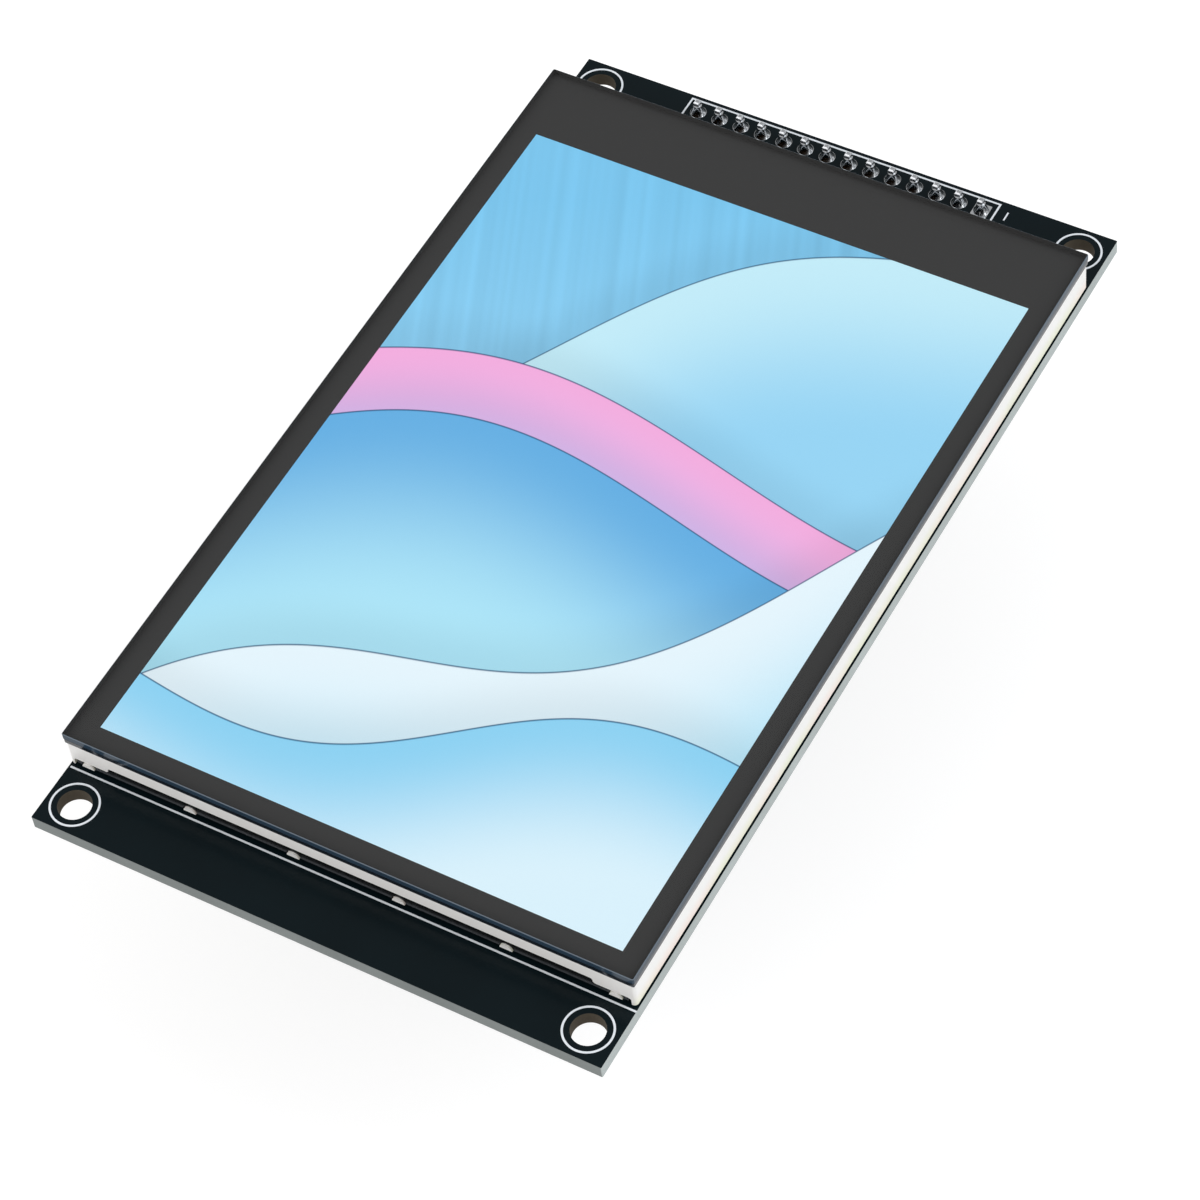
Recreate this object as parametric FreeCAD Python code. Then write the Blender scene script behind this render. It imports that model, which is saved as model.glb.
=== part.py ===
import FreeCAD, Part
import math
import os

# Four-inch touch display module on a circuit board, sizes in millimetres.
# Origin: centre of the four mounting holes on the board's back face.
# +Z points out of the screen, +Y runs from the plain end towards the pin header.

# Touch panel outline and what its border leaves free
PANEL_WIDTH = 61.7
PANEL_LENGTH = 94.5
PANEL_CORNER_RADIUS = 0.2
PANEL_EDGE_CHAMFER = 0.07
VIEW_BORDER_SIDE = 2.6
VIEW_BORDER_PLAIN_END = 2.65
VIEW_BORDER_HEADER_END = 8.4

# Circuit board
BOARD_THICKNESS = 1.6
BOARD_SIDE_MARGIN = 0.02
BOARD_END_STRIP = 6.77
BOARD_CORNER_RADIUS = 0.1
MOUNT_HOLE_DIAMETER = 3.4
MOUNT_HOLE_EDGE_DISTANCE = 3.0

# Layer thicknesses from the board upwards
MOUNTING_TAPE_THICKNESS = 0.4
TRAY_SHEET = 0.2
REFLECTOR_THICKNESS = 0.1
LIGHT_GUIDE_THICKNESS = 0.8
FILM_THICKNESS = 0.1
RIM_TAPE_THICKNESS = 0.1
POLARISER_THICKNESS = 0.15
CELL_GLASS_THICKNESS = 0.5
CELL_TO_RIM = 0.3
GASKET_THICKNESS = 0.12
SENSOR_THICKNESS = 0.5
ADHESIVE_THICKNESS = 0.15
PRINT_THICKNESS = 0.03
COVER_THICKNESS = 0.7

# Light frame: the white moulding that holds the cell and the backlight
FRAME_INSET = 0.1
FRAME_RIM = 1.1
FRAME_LEDGE = 0.7
FRAME_FOOT_WIDTH = 3.95
FRAME_FOOT_LIFT = 0.65
FRAME_WINDOW_LIFT = 1.3
FRAME_SIDE_LIFT = 0.2
FRAME_TOE = 0.5
FRAME_CORNER_RADIUS = 0.4
FRAME_SKIRT = 0.25
FRAME_SKIRT_GAP = 0.3
SKIRT_STEP_RADIUS = 0.3

# Steel tray and the half-round hooks that hold it
TRAY_BEND_RADIUS = 0.25
TRAY_CLEARANCE = 0.05
HOOK_WIDTH = 1.35
HOOK_HEIGHT = 0.6
HOOK_PROUD = 0.1
HOOK_CLEARANCE = 0.12
HOOK_SIDES = 8
END_HOOK_COUNT = 6
END_HOOK_CORNER_DISTANCE = 2.1
SIDE_HOOK_COUNT = 9
SIDE_HOOK_PLAIN_END_DISTANCE = 4.05
SIDE_HOOK_HEADER_END_DISTANCE = 2.25
TRAY_CORNER_RELIEF = 0.3

# Cell, films and backlight inside the frame
FIT_GAP = 0.1
DRIVER_LEDGE = 3.6
POLARISER_INSET = 0.35
LED_COUNT = 8
LED_END_DISTANCE = 4.35
LED_WIDTH = 3.0
LED_DEPTH = 1.0
LED_HEIGHT = 0.6
LED_STRIP_DEPTH = 3.2
LED_TAIL_WIDTH = 4.0
DRIVER_CHIP_WIDTH = 22.0
DRIVER_CHIP_DEPTH = 1.1
DRIVER_CHIP_HEIGHT = 0.3

# Flat ribbons that fold round the header end
RIBBON_THICKNESS = 0.12
RIBBON_BOND = 1.3
RIBBON_REACH = 0.25
DISPLAY_RIBBON_WIDTH = 24.0
DISPLAY_RIBBON_RETURN = 11.0
TOUCH_RIBBON_WIDTH = 8.0
TOUCH_RIBBON_BOND = 3.0
TOUCH_RIBBON_RETURN = 7.0
TOUCH_CHIP_SIDE = 2.6
TOUCH_CHIP_HEIGHT = 0.5
MOUNTING_TAPE_STRIP = 4.0
MOUNTING_TAPE_INSET = 1.3

# Pin header: pins hang below the board, soldered on the screen side
PIN_COUNT = 14
PIN_PITCH = 2.54
PIN_SIDE = 0.64
PIN_TIP_CHAMFER = 0.14
PIN_TAIL = 1.7
PIN_LENGTH = 6.0
HEADER_EDGE_DISTANCE = 2.02
HEADER_HEIGHT = 2.54
HEADER_WIDTH = 2.5
HEADER_NOTCH = 0.35
PIN_HOLE_DIAMETER = 1.0
SOLDER_PAD_DIAMETER = 1.75
SOLDER_PAD_THICKNESS = 0.06
SOLDER_WAIST_DIAMETER = 1.25
SOLDER_WAIST_HEIGHT = 0.35
SOLDER_NECK_DIAMETER = 0.98
SOLDER_HEIGHT = 0.95
SOLDER_SIDES = 12

# Ribbon socket on the board's back, with a flip lever over its mouth
SOCKET_CONTACTS = 14
SOCKET_PITCH = 0.5
SOCKET_END = 2.2
SOCKET_DEPTH = 5.0
SOCKET_HEIGHT = 2.0
SOCKET_FLOOR = 0.5
SOCKET_BACK_BLOCK = 2.3
SOCKET_HEADER_DISTANCE = 9.0
CONTACT_WIDTH = 0.2
CONTACT_THICKNESS = 0.15
CONTACT_TAIL = 0.8
LEVER_THICKNESS = 0.8
LEVER_CLEARANCE = 0.1
LEVER_PIVOT_GAP = 0.2
TRUNNION_DIAMETER = 0.5
TRUNNION_LENGTH = 0.5
TRUNNION_CLEARANCE = 0.04
TAB_WIDTH = 1.2
TAB_THICKNESS = 0.2

# Memory card socket on the board's back, mouth at the plain end
CARD_SOCKET_WIDTH = 14.0
CARD_SOCKET_LENGTH = 14.6
CARD_SOCKET_HEIGHT = 1.85
CARD_SOCKET_EDGE_DISTANCE = 1.5
CARD_SHELL_SHEET = 0.2
CARD_BASE_THICKNESS = 0.5
CARD_BASE_RAIL = 1.2
CARD_CONTACT_COUNT = 8
CARD_CONTACT_PITCH = 1.1
CARD_CONTACT_WIDTH = 0.5
CARD_CONTACT_REACH = 5.0
CARD_CONTACT_RISE = 0.45
CARD_WINDOW_WIDTH = 6.0
CARD_WINDOW_LENGTH = 3.0
CARD_TAB = 0.9

# Small parts on the board's back
REGULATOR_SIZE = (6.5, 3.5, 1.6)
REGULATOR_SIDE_DISTANCE = 11.9
REGULATOR_LEAD_PITCH = 2.3
REGULATOR_LEAD_WIDTH = 0.7
REGULATOR_TAB_WIDTH = 3.0
REGULATOR_LEAD_REACH = 1.75
TRANSISTOR_SIZE = (2.9, 1.3, 1.0)
TRANSISTOR_SIDE_DISTANCE = 15.9
TRANSISTOR_LEAD_PITCH = 0.95
TRANSISTOR_LEAD_WIDTH = 0.4
TRANSISTOR_LEAD_REACH = 0.55
LEAD_THICKNESS = 0.15
MOULD_DRAFT = 0.15
CHIP_LENGTH = 1.6
CHIP_WIDTH = 0.8
RESISTOR_HEIGHT = 0.45
CAPACITOR_HEIGHT = 0.8
CHIP_CAP_LENGTH = 0.35
CHIP_CAP_SHEET = 0.06
RESISTOR_COUNT = 9
RESISTOR_PITCH = 1.9
RESISTOR_SIDE_DISTANCE = 2.7
CAPACITOR_COUNT = 4
CAPACITOR_PITCH = 2.6
CAPACITOR_SIDE_DISTANCE = 7.9
PACKAGE_ROW_HEADER_DISTANCE = 11.0
CHIP_ROW_HEADER_DISTANCE = 17.0

# Outline of the board and of the parts that share it
board_width = PANEL_WIDTH + 2 * BOARD_SIDE_MARGIN
board_length = PANEL_LENGTH + 2 * BOARD_END_STRIP
hole_x = board_width / 2 - MOUNT_HOLE_EDGE_DISTANCE
hole_y = board_length / 2 - MOUNT_HOLE_EDGE_DISTANCE
header_y = board_length / 2 - HEADER_EDGE_DISTANCE
frame_x = PANEL_WIDTH / 2 - FRAME_INSET
frame_y = PANEL_LENGTH / 2 - FRAME_INSET
tray_x = frame_x - FRAME_SKIRT - TRAY_CLEARANCE
tray_y = frame_y - TRAY_CLEARANCE
recess = TRAY_SHEET + 2 * TRAY_CLEARANCE
cell_pocket_x = frame_x - FRAME_RIM
cell_pocket_y = frame_y - FRAME_RIM
film_pocket_x = cell_pocket_x - FRAME_LEDGE
film_pocket_y = cell_pocket_y - FRAME_LEDGE
view_x = PANEL_WIDTH / 2 - VIEW_BORDER_SIDE
view_y0 = -PANEL_LENGTH / 2 + VIEW_BORDER_PLAIN_END
view_y1 = PANEL_LENGTH / 2 - VIEW_BORDER_HEADER_END
cell_x = cell_pocket_x - FIT_GAP
cell_y = cell_pocket_y - FIT_GAP
film_x = film_pocket_x - FIT_GAP
film_y = film_pocket_y - FIT_GAP
filter_end = cell_y - DRIVER_LEDGE
guide_end = film_y - LED_STRIP_DEPTH
ribbon_bend_y = frame_y + RIBBON_REACH
tape_x = tray_x - MOUNTING_TAPE_INSET
tape_y = tray_y - MOUNTING_TAPE_INSET
touch_ribbon_x = -(DISPLAY_RIBBON_WIDTH / 2 + tape_x - MOUNTING_TAPE_STRIP) / 2

# Heights of the layers
tray_bottom = BOARD_THICKNESS + MOUNTING_TAPE_THICKNESS
tray_floor = tray_bottom + TRAY_SHEET
guide_bottom = tray_floor + REFLECTOR_THICKNESS
diffuser_bottom = guide_bottom + LIGHT_GUIDE_THICKNESS
lower_prism_bottom = diffuser_bottom + FILM_THICKNESS
upper_prism_bottom = lower_prism_bottom + FILM_THICKNESS
ledge_top = upper_prism_bottom + FILM_THICKNESS
cell_bottom = ledge_top + RIM_TAPE_THICKNESS
tft_bottom = cell_bottom + POLARISER_THICKNESS
filter_bottom = tft_bottom + CELL_GLASS_THICKNESS
upper_polariser_bottom = filter_bottom + CELL_GLASS_THICKNESS
frame_top = upper_polariser_bottom + POLARISER_THICKNESS + CELL_TO_RIM
sensor_bottom = frame_top + GASKET_THICKNESS
adhesive_bottom = sensor_bottom + SENSOR_THICKNESS
cover_bottom = adhesive_bottom + ADHESIVE_THICKNESS
cover_top = cover_bottom + COVER_THICKNESS


def vector(x, y, z):
    return FreeCAD.Vector(x, y, z)


def block(x0, x1, y0, y1, z0, z1):
    return Part.makeBox(x1 - x0, y1 - y0, z1 - z0, vector(x0, y0, z0))


def closed_wire(points):
    corners = [vector(*point) for point in points]
    return Part.makePolygon(corners + corners[:1])


def prism(points, direction):
    # A straight extrusion of a flat outline given by its corners.
    return Part.Face(closed_wire(points)).extrude(vector(*direction))


def rounded_plate(x0, x1, y0, y1, z0, z1, radius):
    # A plate whose four upright corners are rounded.
    plate = block(x0, x1, y0, y1, z0, z1)
    upright = [edge for edge in plate.Edges if abs(edge.tangentAt(edge.FirstParameter).z) > 0.99]
    return plate.makeFillet(radius, upright)


def centred_plate(half_x, half_y, z0, z1, radius):
    return rounded_plate(-half_x, half_x, -half_y, half_y, z0, z1, radius)


def upright_cylinder(x, y, z0, z1, diameter):
    return Part.makeCylinder(diameter / 2, z1 - z0, vector(x, y, z0), vector(0, 0, 1))


def centred_row(count, pitch, centre=0.0):
    return [centre + pitch * (index - (count - 1) / 2) for index in range(count)]


def group(shapes):
    return Part.makeCompound(shapes)


def on_back(shape):
    # Turns a piece drawn standing on the board so that it hangs from the board's back face.
    turned = shape.copy()
    turned.rotate(vector(0, 0, 0), vector(0, 1, 0), 180)
    return turned


# Circuit board


def circuit_board():
    board = centred_plate(board_width / 2, board_length / 2, 0, BOARD_THICKNESS, BOARD_CORNER_RADIUS)
    holes = []
    for x in (-hole_x, hole_x):
        for y in (-hole_y, hole_y):
            holes.append(upright_cylinder(x, y, 0, BOARD_THICKNESS, MOUNT_HOLE_DIAMETER))
    holes += [pin_hole(x) for x in centred_row(PIN_COUNT, PIN_PITCH)]
    return board.cut(group(holes))


# Pin header


def header_pin(x):
    bottom = -HEADER_HEIGHT - PIN_LENGTH
    top = BOARD_THICKNESS + PIN_TAIL
    half = PIN_SIDE / 2
    pin = block(x - half, x + half, header_y - half, header_y + half, bottom, top)
    ends = [edge for edge in pin.Edges if abs(edge.tangentAt(edge.FirstParameter).z) < 0.01]
    return pin.makeChamfer(PIN_TIP_CHAMFER, ends)


def header_pins():
    return group([header_pin(x) for x in centred_row(PIN_COUNT, PIN_PITCH)])


def header_housing():
    # One moulded strip with a nick between every two pins, where it is snapped to length.
    half = HEADER_WIDTH / 2
    near_side = []
    far_side = []
    for x in centred_row(PIN_COUNT, PIN_PITCH):
        left = x - PIN_PITCH / 2
        right = x + PIN_PITCH / 2
        for along, inset in ((left, HEADER_NOTCH), (left + HEADER_NOTCH, 0), (right - HEADER_NOTCH, 0)):
            near_side.append((along, header_y - half + inset, 0))
            far_side.append((along, header_y + half - inset, 0))
    near_side.append((right, header_y - half + HEADER_NOTCH, 0))
    far_side.append((right, header_y + half - HEADER_NOTCH, 0))
    strip = prism(near_side + far_side[::-1], (0, 0, -HEADER_HEIGHT))
    return strip.cut(header_pins())


def many_sided_ring(x, y, z, diameter):
    # The round of a pin hole or a solder joint, drawn with few sides because it is repeated.
    turn = 2 * math.pi / SOLDER_SIDES
    corners = [(x + diameter / 2 * math.cos(step * turn), y + diameter / 2 * math.sin(step * turn), z)
               for step in range(SOLDER_SIDES)]
    return closed_wire(corners)


def pin_hole(x):
    return Part.Face(many_sided_ring(x, header_y, 0, PIN_HOLE_DIAMETER)).extrude(vector(0, 0, BOARD_THICKNESS))


def solder_joint(x, square_pad):
    # A hollow-sided cone of solder over its pad, with the plug that fills the plated hole.
    sections = [(BOARD_THICKNESS, SOLDER_PAD_DIAMETER),
                (BOARD_THICKNESS + SOLDER_WAIST_HEIGHT, SOLDER_WAIST_DIAMETER),
                (BOARD_THICKNESS + SOLDER_HEIGHT, SOLDER_NECK_DIAMETER)]
    rings = [many_sided_ring(x, header_y, z, diameter) for z, diameter in sections]
    joint = Part.makeLoft(rings, True, True).fuse(pin_hole(x))
    if square_pad:
        half = SOLDER_PAD_DIAMETER / 2
        joint = joint.fuse(block(x - half, x + half, header_y - half, header_y + half,
                                 BOARD_THICKNESS, BOARD_THICKNESS + SOLDER_PAD_THICKNESS))
    return joint.removeSplitter().cut(header_pin(x))


def header_solder():
    places = centred_row(PIN_COUNT, PIN_PITCH)
    return group([solder_joint(x, x == places[-1]) for x in places])


# Light frame and steel tray


def end_hooks(sign, grow, low, high):
    # Half-round hooks across an end, from low to high outwards, drawn with few sides because they repeat.
    hooks = []
    half = HOOK_WIDTH / 2 + grow
    height = HOOK_HEIGHT + grow
    pitch = 2 * (frame_x - END_HOOK_CORNER_DISTANCE) / (END_HOOK_COUNT - 1)
    turn = math.pi / HOOK_SIDES
    for x in centred_row(END_HOOK_COUNT, pitch):
        bow = [(x - half * math.cos(step * turn), sign * low, tray_floor + height * math.sin(step * turn))
               for step in range(HOOK_SIDES + 1)]
        hooks.append(prism(bow, (0, sign * (high - low), 0)))
    return hooks


def side_hooks(sign, grow, low, high):
    # Square hooks along a side, from low to high outwards.
    half = HOOK_WIDTH / 2 + grow
    x0, x1 = sorted((sign * low, sign * high))
    first = -frame_y + SIDE_HOOK_PLAIN_END_DISTANCE
    last = frame_y - SIDE_HOOK_HEADER_END_DISTANCE
    places = centred_row(SIDE_HOOK_COUNT, (last - first) / (SIDE_HOOK_COUNT - 1), (first + last) / 2)
    return [block(x0, x1, y - half, y + half, tray_floor, tray_floor + HOOK_HEIGHT + grow) for y in places]


def wall_room(side, sign, shrink):
    # The room for one wall of the tray: shallow beside the corners, higher between them on the ends.
    if side == "y":
        length = frame_x - FRAME_TOE - shrink
        lift = FRAME_WINDOW_LIFT - shrink
        edge_lift = FRAME_FOOT_LIFT - shrink
        low = sign * (frame_y - recess)
        reach = (0, sign * (recess + 1), 0)
    else:
        length = frame_y - FRAME_TOE - shrink
        lift = FRAME_SIDE_LIFT - shrink
        edge_lift = lift
        low = sign * (frame_x - FRAME_SKIRT - recess)
        reach = (sign * (FRAME_SKIRT + recess + 1), 0, 0)
    inner = length - FRAME_FOOT_WIDTH
    base = tray_floor
    outline = [(-length, base), (-length, base + edge_lift)]
    if lift > edge_lift:
        outline += [(-inner, base + edge_lift), (-inner, base + lift), (inner, base + lift), (inner, base + edge_lift)]
    outline += [(length, base + edge_lift), (length, base)]
    if side == "y":
        points = [(along, low, height) for along, height in outline]
    else:
        points = [(low, along, height) for along, height in outline]
    room = prism(points, reach)
    if side == "x":
        return room
    radius = min(SKIRT_STEP_RADIUS, edge_lift * 0.45)
    outward = vector(*reach).normalize()
    corners = [edge for edge in room.Edges if edge.CenterOfMass.z > base + edge_lift / 2 + 0.02
               and abs(edge.tangentAt(edge.FirstParameter).dot(outward)) > 0.99]
    return room.makeFillet(radius, corners)


def frame_skirts():
    # A thin wall down each long side, outside the tray, with a toe at each corner.
    wall = centred_plate(frame_x, frame_y, BOARD_THICKNESS + FRAME_SKIRT_GAP, tray_floor + FRAME_SIDE_LIFT,
                         FRAME_CORNER_RADIUS)
    inner_x = frame_x - FRAME_SKIRT
    toe_x = frame_x - FRAME_TOE
    toe_y = frame_y - FRAME_TOE
    return wall.cut([block(-inner_x, inner_x, -toe_y, toe_y, 0, frame_top),
                     block(-toe_x, toe_x, -frame_y, frame_y, 0, frame_top)])


def light_frame():
    frame = centred_plate(frame_x, frame_y, tray_floor, frame_top, FRAME_CORNER_RADIUS)
    films = block(-film_pocket_x, film_pocket_x, -film_pocket_y, film_pocket_y, tray_floor, ledge_top)
    cell = block(-cell_pocket_x, cell_pocket_x, -cell_pocket_y, cell_pocket_y, ledge_top, frame_top)
    ribbon_room = DISPLAY_RIBBON_WIDTH / 2 + FIT_GAP
    ribbon_notch = block(-ribbon_room, ribbon_room, cell_pocket_y, frame_y + 1,
                         filter_bottom - FIT_GAP / 2, frame_top)
    tail_room = LED_TAIL_WIDTH / 2 + FIT_GAP
    tail_notch = block(-tail_room, tail_room, film_pocket_y, frame_y + 1,
                       tray_floor, guide_bottom + FILM_THICKNESS + FIT_GAP)
    walls = [wall_room(side, sign, 0) for side in "xy" for sign in (-1, 1)]
    frame = frame.cut([films, cell, ribbon_notch] + walls)
    hooks = []
    for sign in (-1, 1):
        hooks += end_hooks(sign, 0, frame_y - recess - FIT_GAP, frame_y + HOOK_PROUD)
        hooks += side_hooks(sign, 0, frame_x - FRAME_SKIRT - recess - FIT_GAP, frame_x)
    return frame.fuse([frame_skirts()] + hooks).cut(tail_notch).removeSplitter()


def steel_tray():
    # A shallow folded tray: its end walls rise in two steps and have a window round every hook.
    top = tray_floor + FRAME_WINDOW_LIFT
    tray = block(-tray_x, tray_x, -tray_y, tray_y, tray_bottom, top)
    folds = [edge for edge in tray.Edges if edge.CenterOfMass.z < tray_bottom + 0.01]
    tray = tray.makeFillet(TRAY_BEND_RADIUS, folds)
    hollow = block(-tray_x + TRAY_SHEET, tray_x - TRAY_SHEET, -tray_y + TRAY_SHEET, tray_y - TRAY_SHEET,
                   tray_floor, top)
    floor = block(-tray_x, tray_x, -tray_y, tray_y, tray_bottom, tray_floor)
    walls = [wall_room(side, sign, TRAY_CLEARANCE) for side in "xy" for sign in (-1, 1)]
    tray = tray.cut(hollow).common(floor.fuse(walls))
    tail_room = LED_TAIL_WIDTH / 2 + FIT_GAP
    cuts = [block(-tail_room, tail_room, film_y, tray_y + 1, tray_floor, top)]
    relief_x = frame_x - FRAME_TOE - TRAY_CORNER_RELIEF
    relief_y = frame_y - FRAME_TOE - TRAY_CORNER_RELIEF
    for sign in (-1, 1):
        x0, x1 = sorted((sign * relief_x, sign * tray_x))
        cuts.append(block(x0, x1, relief_y, tray_y, tray_bottom, top))
        cuts.append(block(x0, x1, -tray_y, -relief_y, tray_bottom, top))
        cuts += end_hooks(sign, HOOK_CLEARANCE, tray_y - recess, tray_y + 1)
        cuts += side_hooks(sign, HOOK_CLEARANCE, tray_x - recess, tray_x + 1)
    return tray.cut(cuts).removeSplitter()


# Backlight and films

led_places = centred_row(LED_COUNT, 2 * (film_x - LED_END_DISTANCE) / (LED_COUNT - 1))


def film(z0, thickness, y1):
    return block(-film_x, film_x, -film_y, y1, z0, z0 + thickness)


def light_guide():
    # The lit end has a shallow saw-tooth facing each emitter.
    guide = film(guide_bottom, LIGHT_GUIDE_THICKNESS, guide_end)
    notches = []
    for x in led_places:
        tooth = [(x - LED_WIDTH / 4, guide_end, guide_bottom), (x, guide_end - LED_WIDTH / 8, guide_bottom),
                 (x + LED_WIDTH / 4, guide_end, guide_bottom)]
        notches.append(prism(tooth, (0, 0, LIGHT_GUIDE_THICKNESS)))
    return guide.cut(group(notches))


def led_strip():
    # The tail leaves under the frame and meets the display ribbon inside its fold.
    y0 = guide_end + FIT_GAP
    strip = block(-film_x, film_x, y0, film_y, guide_bottom, guide_bottom + FILM_THICKNESS)
    bow = (filter_bottom - BOARD_THICKNESS - RIBBON_THICKNESS) / 2
    drop = BOARD_THICKNESS + RIBBON_THICKNESS + bow - guide_bottom
    tail_end = ribbon_bend_y + math.sqrt(bow * bow - drop * drop)
    tail = block(-LED_TAIL_WIDTH / 2, LED_TAIL_WIDTH / 2, film_y - FIT_GAP, tail_end,
                 guide_bottom, guide_bottom + FILM_THICKNESS)
    return strip.fuse(tail).removeSplitter()


def leds():
    # Side-firing emitters, each with a bevelled back.
    y0 = guide_end + FIT_GAP
    base = guide_bottom + FILM_THICKNESS
    bodies = []
    for x in led_places:
        body = block(x - LED_WIDTH / 2, x + LED_WIDTH / 2, y0, y0 + LED_DEPTH, base, base + LED_HEIGHT)
        back = [edge for edge in body.Edges
                if abs(edge.CenterOfMass.y - y0 - LED_DEPTH) < 0.01 and abs(edge.CenterOfMass.x - x) > 0.1]
        bodies.append(body.makeChamfer(LED_DEPTH / 5, back))
    return group(bodies)


def rim_tape():
    # Black frame of tape that seals the films' edges and shades the emitters.
    outer = block(-cell_x, cell_x, -cell_y, cell_y, ledge_top, cell_bottom)
    window = block(-view_x - FIT_GAP, view_x + FIT_GAP, view_y0 - FIT_GAP, view_y1 + FIT_GAP,
                   ledge_top, cell_bottom)
    return outer.cut(window)


# Liquid crystal cell


def polariser(z0):
    half = cell_x - POLARISER_INSET
    return block(-half, half, -cell_y + POLARISER_INSET, filter_end - POLARISER_INSET, z0,
                 z0 + POLARISER_THICKNESS)


def driver_chip():
    centre = (filter_end + cell_y - RIBBON_BOND) / 2
    half = DRIVER_CHIP_WIDTH / 2
    return block(-half, half, centre - DRIVER_CHIP_DEPTH / 2, centre + DRIVER_CHIP_DEPTH / 2,
                 filter_bottom, filter_bottom + DRIVER_CHIP_HEIGHT)


def folded_ribbon(x0, x1, start_y, upper, lower, return_y):
    # A flat ribbon that runs out over the frame, turns half round and comes back under the tray.
    bend_y = ribbon_bend_y
    middle = (upper + lower + RIBBON_THICKNESS) / 2
    outer = (upper + RIBBON_THICKNESS - lower) / 2
    inner = outer - RIBBON_THICKNESS

    def bow(radius):
        return Part.Arc(vector(x0, bend_y, middle + radius), vector(x0, bend_y + radius, middle),
                        vector(x0, bend_y, middle - radius)).toShape()

    edges = [
        Part.makeLine(vector(x0, start_y, middle + outer), vector(x0, bend_y, middle + outer)),
        bow(outer),
        Part.makeLine(vector(x0, bend_y, middle - outer), vector(x0, return_y, middle - outer)),
        Part.makeLine(vector(x0, return_y, middle - outer), vector(x0, return_y, middle - inner)),
        Part.makeLine(vector(x0, return_y, middle - inner), vector(x0, bend_y, middle - inner)),
        bow(inner),
        Part.makeLine(vector(x0, bend_y, middle + inner), vector(x0, start_y, middle + inner)),
        Part.makeLine(vector(x0, start_y, middle + inner), vector(x0, start_y, middle + outer)),
    ]
    outline = Part.Wire(Part.__sortEdges__(edges))
    return Part.Face(outline).extrude(vector(x1 - x0, 0, 0))


def display_ribbon():
    half = DISPLAY_RIBBON_WIDTH / 2
    return folded_ribbon(-half, half, cell_y - RIBBON_BOND, filter_bottom, BOARD_THICKNESS,
                         frame_y - DISPLAY_RIBBON_RETURN)


def touch_ribbon():
    half = TOUCH_RIBBON_WIDTH / 2
    return folded_ribbon(touch_ribbon_x - half, touch_ribbon_x + half, cell_y - TOUCH_RIBBON_BOND,
                         sensor_bottom - RIBBON_THICKNESS, BOARD_THICKNESS, frame_y - TOUCH_RIBBON_RETURN)


def touch_controller():
    half = TOUCH_CHIP_SIDE / 2
    top = sensor_bottom - RIBBON_THICKNESS
    centre = cell_y - TOUCH_RIBBON_BOND / 2
    return block(touch_ribbon_x - half, touch_ribbon_x + half, centre - half, centre + half,
                 top - TOUCH_CHIP_HEIGHT, top)


# Touch panel


def panel_gasket():
    # Foam tape round the frame's rim, open where the touch ribbon leaves.
    outer = centred_plate(frame_x - FIT_GAP, frame_y - FIT_GAP, frame_top, sensor_bottom, PANEL_CORNER_RADIUS)
    inner = block(-cell_pocket_x, cell_pocket_x, -cell_pocket_y, cell_pocket_y, frame_top, sensor_bottom)
    room = TOUCH_RIBBON_WIDTH / 2 + FIT_GAP
    gap = block(touch_ribbon_x - room, touch_ribbon_x + room, cell_pocket_y - 1, frame_y,
                frame_top, sensor_bottom)
    return outer.cut([inner, gap])


def sheet(z0, z1, inset):
    return centred_plate(PANEL_WIDTH / 2 - inset, PANEL_LENGTH / 2 - inset, z0, z1, PANEL_CORNER_RADIUS - inset)


def border_print():
    outer = sheet(cover_bottom - PRINT_THICKNESS, cover_bottom, FIT_GAP)
    return outer.cut(block(-view_x, view_x, view_y0, view_y1, cover_bottom - PRINT_THICKNESS, cover_bottom))


def optical_adhesive():
    return sheet(adhesive_bottom, cover_bottom, FIT_GAP).cut(border_print())


def cover_glass():
    glass = sheet(cover_bottom, cover_top, 0)
    rim = [edge for edge in glass.Edges if edge.CenterOfMass.z > cover_top - 0.001]
    return glass.makeChamfer(PANEL_EDGE_CHAMFER, rim)


def mounting_tape():
    # Foam tape between board and tray: a strip up each long side, joined across the plain end.
    outer = block(-tape_x, tape_x, -tape_y, tape_y, BOARD_THICKNESS, tray_bottom)
    inner = block(-tape_x + MOUNTING_TAPE_STRIP, tape_x - MOUNTING_TAPE_STRIP, -tape_y + MOUNTING_TAPE_STRIP,
                  tape_y + 1, BOARD_THICKNESS, tray_bottom)
    return outer.cut(inner)


# Ribbon socket, drawn standing on the board with its mouth towards the plain end

socket_half = (SOCKET_CONTACTS - 1) * SOCKET_PITCH / 2 + SOCKET_END
socket_back = header_y - SOCKET_HEADER_DISTANCE
socket_mouth = socket_back - SOCKET_DEPTH
cable_half = SOCKET_CONTACTS * SOCKET_PITCH / 2 + FIT_GAP
lever_half = cable_half + TRUNNION_LENGTH / 2
lever_height = SOCKET_HEIGHT - LEVER_THICKNESS / 2 - LEVER_CLEARANCE
lever_pivot = socket_back - SOCKET_BACK_BLOCK - LEVER_PIVOT_GAP - LEVER_THICKNESS / 2


def socket_contact(x):
    # A bent strip: solder tail, riser through the block and a flat arm along the floor of the mouth.
    y_tail = socket_back + CONTACT_TAIL
    floor = SOCKET_FLOOR
    arm_end = socket_mouth + LEVER_THICKNESS
    thick = CONTACT_THICKNESS
    points = [(x, y_tail, 0), (x, y_tail, thick), (x, socket_back - thick, thick),
              (x, socket_back - thick, floor + thick), (x, arm_end, floor + thick), (x, arm_end, floor),
              (x, socket_back - 2 * thick, floor), (x, socket_back - 2 * thick, 0)]
    return prism([(x - CONTACT_WIDTH / 2, y, z) for x, y, z in points], (CONTACT_WIDTH, 0, 0))


def socket_contacts():
    return group([socket_contact(x) for x in centred_row(SOCKET_CONTACTS, SOCKET_PITCH)])


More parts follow.
